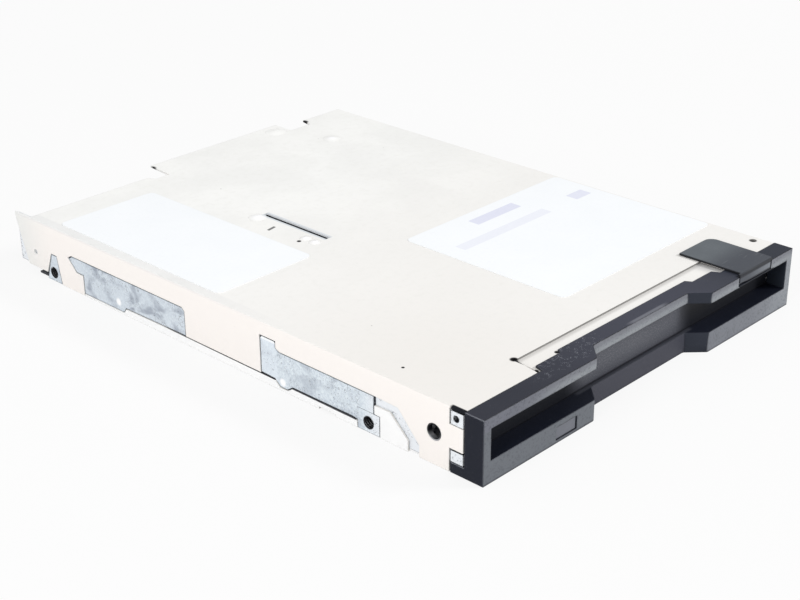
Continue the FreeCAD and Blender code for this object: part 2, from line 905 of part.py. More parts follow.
def make_frame():
    """Galvanised frame: a deck, two side walls with lugs and ears, posts, anchors and a rear wall."""
    frame = Piece("frame")
    deck = Rectangle(-frame_outer, frame_outer, behind(s.foot_end + 1.2), behind(frame_rear))
    head_window = Rectangle(
        s.rod_x - 5, s.screw_x + s.motor_radius + 0.4, behind(motor_board_rear), behind(frame_rear - 4.5)
    )
    bearing_hole = Circle(0, spindle_at, s.bearing_radius + s.press_fit)
    switch_hole = s.switch_side / 2 + 0.2
    switch_at = behind(s.switch_y)
    switch_holes = [
        Rectangle(x - switch_hole, x + switch_hole, switch_at - switch_hole, switch_at + switch_hole)
        for x in switch_places()
    ]
    screw_holes = [Circle(x, y, s.fixing_radius) for x, y in deck_screw_places()]
    frame.add("XY", s.deck_level, deck_top, deck, head_window, bearing_hole, *switch_holes, *screw_holes)
    threads = [Circle(behind(y), s.lug_z, s.lug_thread) for y in (s.lug_front_y, lug_rear_y)]
    for side, low, high in spans(frame_inner, frame_outer):
        rear = (wall_rear if side < 0 else cover_rear_right) - 0.3
        wall = Polygon(
            (behind(wall_front + 0.2), base_top),
            (behind(lug_rear_y + s.lug_half - 0.2), base_top),
            (behind(lug_rear_y + s.lug_half - 0.2), s.rear_wall_foot + 0.1),
            (behind(rear), s.rear_wall_foot + 0.1),
            (behind(rear), under_cover),
            (behind(wall_front + 0.2), under_cover),
        )
        collar_hole = Circle(behind(s.side_hole_y), s.side_hole_z, s.collar_bore)
        slot_room = s.stud_radius + 0.1
        stud_slots = [
            Rectangle(
                behind(y) - slot_room, behind(y) + slot_room, stud_z - lift - slot_room, stud_z + slot_room
            )
            for y in stud_places
        ]
        frame.add("YZ", low, high, wall, collar_hole, *stud_slots, *threads)
    ear_front = cover_front + 0.2
    ear_rear = ear_front + s.ear_length
    upper_bottom = s.nose_top + s.wall_gap
    upper_top = under_cover - s.ear_gap
    lower_bottom = s.foot_height + 0.15
    lower_top = s.nose_bottom - s.ear_gap
    ear_hole = Circle(behind(ear_front + s.ear_hole_set), s.height - s.ear_hole_drop, s.ear_hole)
    for _, low, high in spans(frame_outer - 0.1, half - 0.05):
        collar = Circle(behind(s.side_hole_y), s.side_hole_z, s.side_hole - 0.03)
        collar_hole = Circle(behind(s.side_hole_y), s.side_hole_z, s.collar_bore)
        upper_ear = Rectangle(behind(ear_front), behind(ear_rear), upper_bottom, upper_top)
        lower_ear = Rectangle(behind(ear_front), behind(ear_rear), lower_bottom, lower_top)
        front_lug = wall_outline(
            (s.lug_front_y - s.lug_half, 0.05),
            (s.lug_front_y + s.lug_half, 0.05),
            (s.lug_front_y + s.lug_half, s.lug_top),
            (s.lug_front_y - s.lug_half, s.lug_top),
        )
        rear_lug = wall_outline(
            (lug_rear_y - s.lug_half + 0.1, 0.05),
            (lug_rear_y + s.lug_half - 0.3, 0.05),
            (lug_rear_y + 0.4, s.rear_lug_top),
            (lug_rear_y - 1.4, s.rear_lug_top),
        )
        outlines = (collar, collar_hole, upper_ear, ear_hole, lower_ear, front_lug, rear_lug, *threads)
        frame.add("YZ", low, high, *outlines)
    for _, low, high in spans(frame_outer - 0.1, half - s.panel_set_back):
        frame.add("YZ", low, high, middle_panel())
        frame.add("YZ", low, high, rear_panel())
    for _, low, high in spans(frame_inner, frame_outer):
        upper_root = Rectangle(behind(ear_front), behind(ear_rear + s.ear_root), upper_bottom, upper_top)
        lower_root = Rectangle(behind(ear_front), behind(ear_rear + s.ear_root), lower_bottom, lower_top)
        frame.add("YZ", low, high, upper_root, ear_hole, lower_root)
    for _, low, high in spans(half - 0.05 - s.lug_length, frame_inner):
        bosses = [
            Rectangle(behind(y) - s.boss_half, behind(y) + s.boss_half, base_top, s.lug_z + s.boss_rise)
            for y in (s.lug_front_y, lug_rear_y)
        ]
        frame.add("YZ", low, high, *bosses, *threads)
    rear_wall = Rectangle(-frame_outer, frame_outer, s.deck_level, under_cover)
    rear_notch = Rectangle(s.rod_x, s.screw_x, deck_top + 1.5, under_cover - 2)
    frame.add("XZ", behind(frame_rear - s.frame_sheet), behind(frame_rear), rear_wall, rear_notch)
    anchors = [Rectangle(low, high, s.deck_level, spring_z + 1) for _, low, high in spring_tabs()]
    frame.add("XZ", behind(anchor_y), behind(anchor_y + s.frame_sheet), *anchors)
    posts = [Circle(x, y, s.post_radius) for x, y in board_screw_places()]
    post_holes = [Circle(x, y, s.fixing_radius) for x, y in board_screw_places()]
    frame.add("XY", main_board_top, s.deck_level, *posts, *post_holes)


def middle_panel():
    """Raised panel of the side wall in the cover's middle window, with a thin gap round it."""
    gap = s.panel_gap
    low = s.flange_height + gap
    dip_end = s.mid_window_end + s.flange_dip_overlap
    dip_start = dip_end - s.flange_dip_length
    tall_end = s.mid_window_end + s.tall_window_width - gap
    return wall_outline(
        (s.panel_front, s.window_top - gap),
        (s.mid_window_end - 1 + gap / 2, s.window_top - gap),
        (s.mid_window_end + gap, s.window_top + 0.5 - gap / 2),
        (s.mid_window_end + gap, s.tall_window_top - gap),
        (tall_end, s.tall_window_top - gap),
        (tall_end, s.seam + gap),
        (dip_end, low),
        (dip_end - 1.5, s.flange_low + gap),
        (dip_start + 1.6, s.flange_low + gap),
        (dip_start + 0.1, low - 0.2),
        (s.lug_front_y + s.lug_half + 1.1, low - 0.1),
        (s.lug_front_y + s.lug_half - 0.1, low - 0.3),
        (s.lug_front_y + s.lug_half - 0.1, s.lug_top - 0.1),
        (s.panel_front, s.lug_top - 0.1),
    )


def rear_panel():
    """Raised panel of the side wall in the cover's rear window, with a thin gap round it."""
    gap = s.panel_gap
    low = s.flange_height + gap
    step = flange_rear - s.flange_step_length
    return wall_outline(
        (s.rear_window_start + gap, low),
        (s.rear_window_start + gap, s.window_top - 0.7 - gap / 2),
        (s.rear_window_start + 0.8 + gap / 2, s.window_top - gap),
        (rear_window_end - 1.4 - gap / 2, s.window_top - gap),
        (rear_window_end - 1.5 * gap, s.window_top - 0.7 - gap / 2),
        (rear_window_end - 2.8 - gap / 2, s.rear_wall_top + gap),
        (flange_rear, s.rear_wall_top + gap),
        (flange_rear, base_top - 0.1 + gap),
        (step + 0.1, base_top - 0.1 + gap),
        (step - 0.7, low - 0.3),
    )


def spring_tabs():
    """The tabs that hold the slide springs' ends, on the left and on the right."""
    return spans(spring_x - s.hook_half, spring_x + s.hook_half)


def make_bezel():
    """Moulded front: two blocks with a finger recess between them, round the disk slot."""
    bezel = Piece("bezel")
    left_end = -half + s.bezel_left_block
    right_end = half - s.bezel_right_block
    plan = Polygon(
        (-half, front),
        (left_end, front),
        (left_end + s.recess_depth, behind(s.recess_depth)),
        (right_end - s.recess_depth, behind(s.recess_depth)),
        (right_end, front),
        (half, front),
        (half, behind(s.bezel_depth)),
        (-half, behind(s.bezel_depth)),
    )
    bezel.add("XY", 0, s.height, plan)
    step = s.flange_depth - s.flange_step_in
    flange = Polygon(
        (strip_left + 0.2, behind(s.bezel_depth)),
        (strip_right - 2.1, behind(s.bezel_depth)),
        (strip_right - 2.9, behind(step - 0.3)),
        (strip_right - 9.4, behind(step - 0.3)),
        (strip_right - 10.2, behind(s.flange_depth)),
        (strip_left + 8.2, behind(s.flange_depth)),
        (strip_left + 7.6, behind(step)),
        (strip_left + 0.8, behind(step)),
    )
    bezel.add("XY", under_cover, s.height, flange)
    for _, low, high in spans(half - s.foot_width, half):
        foot = Rectangle(low, high, behind(s.bezel_depth), behind(s.foot_end))
        bezel.add("XY", 0, s.foot_height, foot)
    for _, low, high in spans(door_half + 0.3, slide_outer):
        boss = Rectangle(behind(s.bezel_depth), behind(door_y + 1.0), door_z - 0.9, door_z + 1.0)
        bezel.add("YZ", low, high, boss)
    slot = Rectangle(-slot_half, slot_half, s.slot_bottom, s.height - s.slot_lintel)
    bezel.cut("XZ", front, behind(s.bezel_depth), slot)
    for _, low, high in spans(door_half + 0.3, slide_outer):
        pin_hole = Circle(behind(door_y), door_z, s.door_pin + s.running_fit)
        bezel.cut("YZ", low, high, pin_hole)
    light = Rectangle(
        light_x - s.light_width / 2,
        light_x + s.light_width / 2,
        s.light_z - s.light_height / 2,
        s.light_z + s.light_height / 2,
    )
    bezel.cut("XZ", front, behind(s.bezel_depth), light)
    lip_left, lip_right, lip_bottom = slider_lip()
    lip_room = Rectangle(lip_left - 0.3, lip_right + 0.3, lip_bottom - 0.2, s.height)
    bezel.cut("XZ", front, front + s.tab_wall + s.wall_gap, lip_room)
    turns = (
        (left_end, front),
        (left_end + s.recess_depth, behind(s.recess_depth)),
        (right_end - s.recess_depth, behind(s.recess_depth)),
        (right_end, front),
    )
    bezel.round_off(s.jog_radius, upright_edges(*turns))


def upright_edges(*places):
    """A test for the edges that stand upright at given places, each a distance along X and Y."""
    spots = [(across.number, along.number) for across, along in places]

    def chosen(edge):
        ends = [(vertex.X, vertex.Y) for vertex in edge.Vertexes]
        return len(ends) == 2 and any(all(math.dist(end, spot) < 0.01 for end in ends) for spot in spots)

    return chosen


def slider_lip():
    """Left and right end and lowest level of the slider's lip."""
    return tab_left - s.tab_lip_shift, tab_right - s.tab_lip_inset, s.height - s.tab_lip_drop


def make_eject_slider():
    """Black slider: a plate on the cover, a lip before the bezel, and a foot through the cover."""
    slider = Piece("eject_slider")
    plate_bottom = s.height + s.running_fit
    plate_top = plate_bottom + s.tab_wall
    plate = Rectangle(tab_left, tab_right, front, behind(s.tab_rear))
    slider.add("XY", plate_bottom, plate_top, plate)
    left, right, low = slider_lip()
    lip = Polygon(
        (left, low + 0.5),
        (left + 3.5, low + 0.1),
        (right - 1.5, low),
        (right, low),
        (right, plate_top),
        (left, plate_top),
    )
    slider.add("XZ", front, front + s.tab_wall, lip)
    foot = Rectangle(tab_foot_left, tab_foot_right, tab_foot_front, tab_foot_front + s.tab_foot_length)
    slider.add("XY", slide_top, plate_bottom, foot)
    slider.round_off(s.tab_corner, upright_edges((tab_right, front + s.tab_rear)))
    bend = (front.number, plate_top.number)

    def along_bend(edge):
        spots = [(vertex.Y, vertex.Z) for vertex in edge.Vertexes]
        return len(spots) == 2 and all(math.dist(spot, bend) < 0.01 for spot in spots)

    slider.round_off(s.tab_bend, along_bend)


def make_shutter_door():
    """Flap that closes the disk slot, hung on a barrel with a pin at each end."""
    door = Piece("shutter_door")
    flap = Rectangle(-0.9, -0.9 + s.door_wall, door_lowest - door_z, 0)
    door.add("YZ", -door_half, door_half, flap)
    door.add("YZ", -door_half, door_half, Circle(0, 0, s.door_barrel))
    pin_end = door_half + s.door_pin_length
    door.add("YZ", -pin_end, pin_end, Circle(0, 0, s.door_pin))
    spring_room = Circle(0, 0, s.door_spring + s.wall_gap)
    door.cut("YZ", door_spring_left - 0.3, door_spring_right + 0.3, spring_room, Circle(0, 0, s.door_barrel))
    door.place(0, behind(door_y), door_z)


def make_light():
    lens = Piece("light_window")
    room = s.running_fit
    window = Rectangle(
        light_x - s.light_width / 2 + room,
        light_x + s.light_width / 2 - room,
        s.light_z - s.light_height / 2 + room,
        s.light_z + s.light_height / 2 - room,
    )
    lens.add("XZ", behind(s.light_set_back), behind(s.bezel_depth), window)
    lamp_end = behind(s.motor_board_front - 0.5)
    lamp = cylinder("lamp", (light_x, s.light_z), behind(s.bezel_depth + 0.3), lamp_end, s.lamp_radius, "Y")
    keep(lamp, "indicator_light")


def make_labels():
    left = -half + s.notice_inset
    notice = Piece("notice_label")
    outline = Rectangle(
        left, left + s.notice_width, behind(s.notice_front), behind(s.notice_front + s.notice_length)
    )
    notice.add("XY", s.height, s.height + s.label_sheet, outline)
    notice.round_off(s.label_corner, upright)
    right = half - s.rating_inset
    rating = Piece("rating_label")
    outline = Rectangle(
        right - s.rating_width, right, behind(s.rating_front), behind(s.rating_front + s.rating_length)
    )
    rating.add("XY", s.height, s.height + s.label_sheet, outline)
    rating.round_off(s.label_corner, upright)


def upright(edge):
    """Whether an edge stands along Z."""
    ends = edge.Vertexes
    return len(ends) == 2 and math.dist((ends[0].X, ends[0].Y), (ends[1].X, ends[1].Y)) < 0.001


# Loading mechanism


def make_slide_plate():
    """Sheet that slides under the cover: its cam slots raise and lower the holder's studs."""
    plate = Piece("slide_plate")
    tongue_front = s.tab_rear - s.tab_foot_front - 0.2
    hook = spring_x - s.hook_half
    outline = Polygon(
        (-slide_outer, slide_front),
        (tab_foot_left - 1, slide_front),
        (tab_foot_left - 1, tongue_front),
        (tab_foot_right + 1, tongue_front),
        (tab_foot_right + 1, slide_front),
        (slide_outer, slide_front),
        (slide_outer, slide_arm_rear),
        (hook, slide_arm_rear),
        (hook, slide_rear),
        (s.arm_opening, slide_rear),
        (s.arm_opening, arm_opening_front),
        (-s.arm_opening, arm_opening_front),
        (-s.arm_opening, slide_rear),
        (-hook, slide_rear),
        (-hook, slide_arm_rear),
        (-slide_outer, slide_arm_rear),
    )
    outline = Polygon(*((x, behind(y)) for x, y in outline.corners))
    middle = Rectangle(
        s.plate_window_left,
        s.plate_window_right,
        behind(s.plate_window_front),
        behind(s.plate_window_front + s.plate_window_length),
    )
    plate.add("XY", slide_bottom, slide_top, outline, middle)
    wall_bottom = stud_z - lift - s.slide_wall_margin
    for _, low, high in spans(slide_inner, slide_outer):
        wall = wall_outline(
            (slide_front, wall_bottom),
            (slide_wall_rear, wall_bottom),
            (slide_wall_rear, slide_top),
            (slide_front, slide_top),
        )
        slots = [
            cam_slot(behind(y), stud_z, s.stroke, -lift, s.stud_radius + 0.1)
            for y in stud_places
        ]
        plate.add("YZ", low, high, wall, *slots)
    hooks = [Rectangle(low, high, spring_z - 1, slide_top) for _, low, high in spring_tabs()]
    plate.add("XZ", behind(slide_arm_rear - s.thin_sheet), behind(slide_arm_rear), *hooks)


def make_slide_springs():
    for side, label in ((-1, "slide_spring_left"), (1, "slide_spring_right")):
        centre = (side * spring_x, spring_z)
        span = (behind(anchor_y + s.frame_sheet), behind(slide_arm_rear - s.thin_sheet))
        coil = cylinder(f"{label}_outside", centre, *span, s.spring_radius, "Y")
        bore = cylinder(f"{label}_bore", centre, *span, s.spring_radius - s.spring_wire, "Y")
        keep(pierced(f"{label}_coil", coil, bore), label)


def make_disk_holder():
    """Folded sheet pocket that the disk slides into, open in front and over the head's path."""
    holder = Piece("disk_holder")
    lip_edge = holder_inner - s.lip_width
    right_side = [
        (lip_edge, lip_bottom),
        (holder_outer, lip_bottom),
        (holder_outer, holder_top),
    ]
    inside = [
        (-holder_inner, lip_top),
        (-holder_inner, holder_ceiling),
        (holder_inner, holder_ceiling),
        (holder_inner, lip_top),
        (lip_edge, lip_top),
    ]
    left_side = [(-x, z) for x, z in reversed(right_side)]
    folded = Polygon(*right_side, *left_side, (-lip_edge, lip_top), *inside)
    holder.add("XZ", behind(slide_front), behind(holder_rear), folded)
    rail = Rectangle(
        s.holder_opening, rail_right, behind(holder_rear - 1), behind(holder_rear + s.rail_length)
    )
    holder.add("XY", holder_ceiling, holder_top, rail)
    arm_window = Rectangle(
        -s.holder_opening, s.holder_opening, behind(arm_opening_front), behind(holder_rear + 1)
    )
    hub_window = Circle(0, spindle_at - s.hub_window_shift, s.hub_window)
    pin_x, pin_y = lever_pin_place()
    lever_window = Rectangle(
        rail_right, pin_x + s.lever_room, behind(pin_y - s.lever_room), behind(holder_rear - s.lever_room)
    )
    rivet_hole = Circle(lever_x, behind(lever_y), s.lever_pin + s.press_fit)
    holder.cut("XY", holder_ceiling, holder_top, arm_window, hub_window, lever_window, rivet_hole)
    stud_holes = [Circle(behind(y), stud_z, s.stud_radius + s.press_fit) for y in stud_places]
    holder.cut("YZ", -holder_outer, holder_outer, *stud_holes)


def make_holder_studs():
    studs = []
    for _, low, high in spans(holder_inner, frame_outer):
        for y in stud_places:
            studs.append(cylinder("stud", (behind(y), stud_z), low, high, s.stud_radius, "X"))
    group("holder_studs", studs)


def lever_pin_place():
    """X, and distance behind the bezel's face, of the lever's pin with the drive empty."""
    angle = s.lever_rest.number
    return lever_x + turned(lever_length, "cos", angle), lever_y + turned(lever_length, "sin", angle)


def make_trigger_lever():
    """Lever on the holder that the disk pushes round; it frees the slide plate and opens the disk's gate."""
    lever = Piece("trigger_lever")
    pivot_hole = Circle(0, 0, s.lever_pin + s.running_fit)
    arm = Rectangle(0, lever_length, -s.lever_width / 2, s.lever_width / 2)
    lever.add("XY", 0, lever_top - lever_bottom, arm)
    lever.add("XY", 0, lever_top - lever_bottom, Circle(0, 0, s.lever_eye))
    lever.add("XY", 0, lever_top - lever_bottom, Circle(lever_length, 0, s.lever_width / 2))
    lever.cut("XY", -0.1, lever_top - lever_bottom + 0.1, pivot_hole)
    lever.cut("XY", -0.1, lever_top - lever_bottom + 0.1, Circle(lever_length, 0, s.lever_pin))
    lever.place(lever_x, behind(lever_y), lever_bottom, (0, 0, 1), s.lever_rest)

    pin = Piece("lever_pin")
    pin_low = raised_bottom + 0.8 - lever_bottom
    pin.add("XY", pin_low, lever_top - lever_bottom, Circle(lever_length, 0, s.lever_pin))
    pin.place(lever_x, behind(lever_y), lever_bottom, (0, 0, 1), s.lever_rest)

    rivet = Piece("lever_rivet")
    rivet.turn(
        (0, holder_ceiling),
        (s.lever_pin, holder_ceiling),
        (s.lever_pin, lever_top + s.running_fit),
        (s.lever_pin + 0.8, lever_top + s.running_fit),
        (s.lever_pin + 0.8, lever_top + s.rivet_head),
        (0, lever_top + s.rivet_head),
    )
    rivet.place(lever_x, behind(lever_y), 0)

    spring = Piece("lever_spring")
    ring = s.lever_pin + 1.0
    spring.add("XY", lever_top, lever_top + 0.4, Circle(0, 0, ring + 0.6), Circle(0, 0, ring))
    spring.place(lever_x, behind(lever_y), 0)


def make_door_spring():
    centre = (behind(door_y), door_z)
    span = (door_spring_left, door_spring_right)
    coil = cylinder("door_spring_outside", centre, *span, s.door_spring, "X")
    bore = cylinder("door_spring_bore", centre, *span, s.door_barrel + s.running_fit, "X")
    keep(pierced("door_spring_coil", coil, bore), "door_spring")


# Spindle motor


def make_spindle():
    """Flat motor under the deck: cup-shaped rotor, ring magnet, shaft and the hub that grips the disk."""
    rotor = Piece("spindle_rotor")
    bore = s.shaft_radius + s.press_fit
    rim = s.rotor_radius - s.rotor_sheet - 0.2
    disc_top = rotor_bottom + s.rotor_sheet
    rotor.turn(
        (bore, rotor_bottom),
        (s.rotor_radius, rotor_bottom),
        (s.rotor_radius, rotor_top),
        (rim, rotor_top),
        (rim, disc_top),
        (bore + 1.3, disc_top),
        (bore + 1.3, disc_top + 0.2),
        (bore, disc_top + 0.2),
    )
    window = rotor.cut("XY", rotor_bottom, disc_top, Circle(s.rotor_hole_orbit, 0, s.rotor_hole))
    rotor.round_copies(window, s.rotor_holes)
    rotor.place(0, spindle_at, 0)

    magnet = Piece("rotor_magnet")
    inner = rim - s.magnet_wall
    magnet.add("XY", disc_top, rotor_top - 0.1, Circle(0, 0, rim), Circle(0, 0, inner))
    magnet.place(0, spindle_at, 0)

    keep(cylinder("shaft", (0, spindle_at), rotor_bottom, shaft_top, s.shaft_radius), "spindle_shaft")

    hub = Piece("disk_hub")
    recess = hub_top - s.chuck_recess
    hub.turn(
        (bore, hub_bottom),
        (hub_radius, hub_bottom),
        (hub_radius, hub_top),
        (chuck_outer + s.wall_gap, hub_top),
        (chuck_outer + s.wall_gap, recess),
        (chuck_inner - s.wall_gap, recess),
        (chuck_inner - s.wall_gap, hub_top),
        (bore, hub_top),
    )
    pin_hole = Circle(s.drive_pin_orbit, 0, s.drive_pin_radius + s.running_fit)
    hub.cut("XY", hub_bottom - 0.1, hub_top + 0.1, pin_hole)
    hub.place(0, spindle_at, 0)

    chuck = Piece("chuck_magnet")
    chuck.add("XY", recess, hub_top, Circle(0, 0, chuck_outer), Circle(0, 0, chuck_inner))
    chuck.place(0, spindle_at, 0)

    pin_low, pin_high = hub_bottom + s.running_fit, hub_top + s.drive_pin_rise
    drive_pin = cylinder("pin", (s.drive_pin_orbit, spindle_at), pin_low, pin_high, s.drive_pin_radius)
    keep(drive_pin, "drive_pin")

    bearing = Piece("spindle_bearing")
    fit = s.shaft_radius + 0.02
    bearing.turn(
        (fit, stator_bottom - 0.35),
        (s.bearing_radius, stator_bottom - 0.35),
        (s.bearing_radius, stator_top + 0.05),
        (s.bearing_radius + 0.9, stator_top + 0.05),
        (s.bearing_radius + 0.9, s.deck_level),
        (s.bearing_radius, s.deck_level),
        (s.bearing_radius, deck_top),
        (s.bearing_radius + 3, deck_top),
        (s.bearing_radius + 3, deck_top + 0.4),
        (fit, deck_top + 0.4),
    )
    bearing.place(0, spindle_at, 0)

    core = Piece("stator_core")
    ring_inner = s.bearing_radius + s.press_fit
    core.add("XY", stator_bottom, stator_top, Circle(0, 0, s.yoke_radius), Circle(0, 0, ring_inner))
    tooth_root = s.yoke_radius - 0.4
    tooth_end = stator_radius - s.tooth_tip
    tooth = Polygon(
        (tooth_root, -s.tooth_half),
        (tooth_end, -s.tooth_half),
        (tooth_end, -s.tooth_tip_half),
        (stator_radius, -s.tooth_tip_half),
        (stator_radius, s.tooth_tip_half),
        (tooth_end, s.tooth_tip_half),
        (tooth_end, s.tooth_half),
        (tooth_root, s.tooth_half),
    )
    core.round_copies(core.add("XY", stator_bottom, stator_top, tooth), s.tooth_count)
    core.place(0, spindle_at, 0)

    coils = Piece("stator_coils")
    outside = Rectangle(s.coil_start, tooth_end - 0.2, -s.coil_half, s.coil_half)
    winding = coils.add("XY", stator_bottom - s.coil_height, stator_top + s.coil_height, outside)
    coils.round_copies(winding, s.tooth_count)
    room = s.tooth_half + s.running_fit
    tooth_room = coils.cut(
        "YZ", s.coil_start - 0.1, tooth_end - 0.1, Rectangle(-room, room, stator_bottom, stator_top)
    )
    coils.round_copies(tooth_room, s.tooth_count, winding)
    coils.place(0, spindle_at, 0)


# Boards and what they carry


def switch_places():
    """X of the density, write-protect and disk-in switches."""
    return (-switch_x, switch_x, switch_x - s.switch_pitch)


def deck_screw_places():
    """Two screws for the rod clamps and two for the stepper bracket."""
    clamp_x = s.rod_x - 6.5
    bracket_x = s.screw_x + 6.5
    return (
        (clamp_x, behind(clamp_front_y)),
        (clamp_x, behind(clamp_rear_y)),
        (bracket_x, behind(bracket_front + 5)),
        (bracket_x, behind(motor_front - 5)),
    )


def board_screw_places():
    """Three screws near the main board's corners, and one before the cable connector."""
    x = half - s.board_screw_inset
    y = behind(main_board_front + s.board_screw_front)
    return (
        (-x, y),
        (x, y),
        (x, behind(frame_rear - s.board_screw_rear)),
        (s.board_screw_x, behind(frame_rear - s.board_screw_y)),
    )


def make_boards():
    board = Piece("motor_board")
    side = frame_inner - s.motor_board_gap
    edge = behind(s.motor_board_front)
    rear = behind(motor_board_rear)
    shoulder = behind(s.motor_board_shoulder)
    outline = Polygon(
        (-side, edge),
        (light_x - 2.5, edge),
        (light_x - 2.5, edge - 0.5),
        (light_x + 2.5, edge - 0.5),
        (light_x + 2.5, edge),
        (side, edge),
        (side, shoulder),
        (s.motor_board_waist, shoulder + 4),
        (s.motor_board_waist, rear),
        (-s.motor_board_waist, rear),
        (-s.motor_board_waist, shoulder + 4),
        (-side, shoulder),
    )
    bearing_hole = Circle(0, spindle_at, s.bearing_radius + 1.0)
    holes = [Circle(x, behind(s.switch_y), s.plunger_radius + 0.2) for x in switch_places()]
    board.add("XY", s.deck_level - s.board_sheet, s.deck_level, outline, bearing_hole, *holes)

    main = Piece("main_board")
    edge = frame_inner - s.board_edge_gap
    boss_end = half - s.lug_length - 0.3
    boss_front = behind(lug_rear_y - s.lug_half + 0.1)
    outline = Polygon(
        (-edge, behind(main_board_front)),
        (edge, behind(main_board_front)),
        (edge, boss_front),
        (boss_end, boss_front),
        (boss_end, behind(frame_rear)),
        (-boss_end, behind(frame_rear)),
        (-boss_end, boss_front),
        (-edge, boss_front),
    )
    motor_room = Rectangle(
        s.screw_x - s.motor_radius - 0.4,
        s.screw_x + s.motor_radius + 0.4,
        behind(motor_front - 1.2),
        behind(motor_front + s.motor_length + 1),
    )
    screw_holes = [Circle(x, y, s.fixing_radius + 0.1) for x, y in board_screw_places()]
    main.add("XY", s.main_board_bottom, main_board_top, outline, motor_room, *screw_holes)

    left = -half + s.chip_inset
    start = behind(main_board_front + s.controller_y)
    rise = (main_board_top, main_board_top + s.chip_height)
    side = s.controller_side
    keep(box("chip", (left, left + side), (start, start + side), rise), "controller_chip")
    right = half - s.chip_inset
    start = behind(main_board_front + s.driver_y)
    keep(box("chip", (right - s.driver_side, right), (start, start + s.driver_side), rise), "driver_chip")
    rise = (main_board_top, main_board_top + s.capacitor_height)
    columns = ((right + 3, 0), (right + 3, 1), (right + 3, 2), (left - 5, 0), (left - 5, 1), (left + 13, 1))
    capacitors = []
    for x, row in columns:
        start = behind(main_board_front + s.controller_y) + row * s.capacitor_pitch
        capacitors.append(box("capacitor", (x, x + s.capacitor_width), (start, start + s.capacitor_length), rise))
    group("capacitors", capacitors)


def screw(name, x, y, seat, head, tip, head_radius, radius):
    """A screw whose head sits on the seat: the head and tip are levels above or below it."""
    low, high = (seat, head) if sized(head).number > sized(seat).number else (head, seat)
    cap = cylinder(f"{name}_head", (x, y), low, high, head_radius)
    low, high = (tip, seat) if sized(head).number > sized(seat).number else (seat, tip)
    shank = cylinder(f"{name}_shank", (x, y), low, high, radius)
    return joined(name, cap, shank)


def make_screws():
    head = s.fixing_head_height
    members = [
        screw(
            "deck_screw", x, y, deck_top, deck_top + head, s.deck_level - 0.55, s.fixing_head, s.fixing_radius
        )
        for x, y in deck_screw_places()
    ]
    group("deck_screws", members)
    board = s.main_board_bottom
    members = [
        screw("board_screw", x, y, board, board - s.board_screw_head, s.deck_level, s.fixing_head, s.fixing_radius)
        for x, y in board_screw_places()
    ]
    group("board_screws", members)


def make_switches():
    side = s.switch_side / 2
    y = behind(s.switch_y)
    bodies = []
    for x in switch_places():
        block = box("switch", (x - side, x + side), (y - side, y + side), (s.deck_level, deck_top + 0.5))
        bore = cylinder("switch_bore", (x, y), s.deck_level, deck_top + 0.5, s.plunger_radius + s.running_fit)
        bodies.append(pierced("switch_body", block, bore))
    group("switch_bodies", bodies)
    labels = ("density_plunger", "protect_plunger", "disk_plunger")
    for x, label in zip(switch_places(), labels):
        plunger = cylinder("plunger", (x, y), s.deck_level + 0.1, plunger_top, s.plunger_radius)
        keep(plunger, label)


def make_connector():
    """Socket for a flat cable at the rear, with its contacts and a lock that slides out."""
    left = -half + s.connector_inset
    right = left + s.contact_count * s.contact_pitch + 2
    face = behind(frame_rear)
    slot_left = left + 0.7
    slot_right = right - 0.7
    top = s.deck_level - 0.1
    socket = Piece("cable_connector")
    socket.add("XY", main_board_top, top, Rectangle(left, right, face - s.connector_length, face))
    slot = Rectangle(slot_left, slot_right, main_board_top + 0.6, main_board_top + 1.2)
    socket.cut("XZ", face - 4, face, slot)

    contacts = Piece("connector_contacts")
    first = left + 1.5
    rear = face - s.connector_length
    tail = Rectangle(first - 0.15, first + 0.15, rear - 1.2, rear)
    tail = contacts.add("XY", main_board_top, main_board_top + 0.2, tail)
    row = contacts.body.newObject("PartDesign::LinearPattern", "connector_contacts_row")
    row.Originals = [tail]
    row.Direction = (tail.Profile[0], ["H_Axis"])
    row.setExpression("Length", ((s.contact_count - 1) * s.contact_pitch).text)
    row.setExpression("Occurrences", s.contact_count.text)
    contacts.body.Tip = row

    lock = Piece("connector_lock")
    reach = face + s.lock_travel + 0.2
    outline = Polygon(
        (left - 0.9, face - s.lock_arm),
        (left - 0.05, face - s.lock_arm),
        (left - 0.05, face + 0.05),
        (right + 0.05, face + 0.05),
        (right + 0.05, face - s.lock_arm),
        (right + 0.9, face - s.lock_arm),
        (right + 0.9, reach),
        (left - 0.9, reach),
    )
    lock.add("XY", main_board_top + 0.05, top - 0.2, outline)
    lock.cut("XZ", face, reach, slot)


# Head positioner


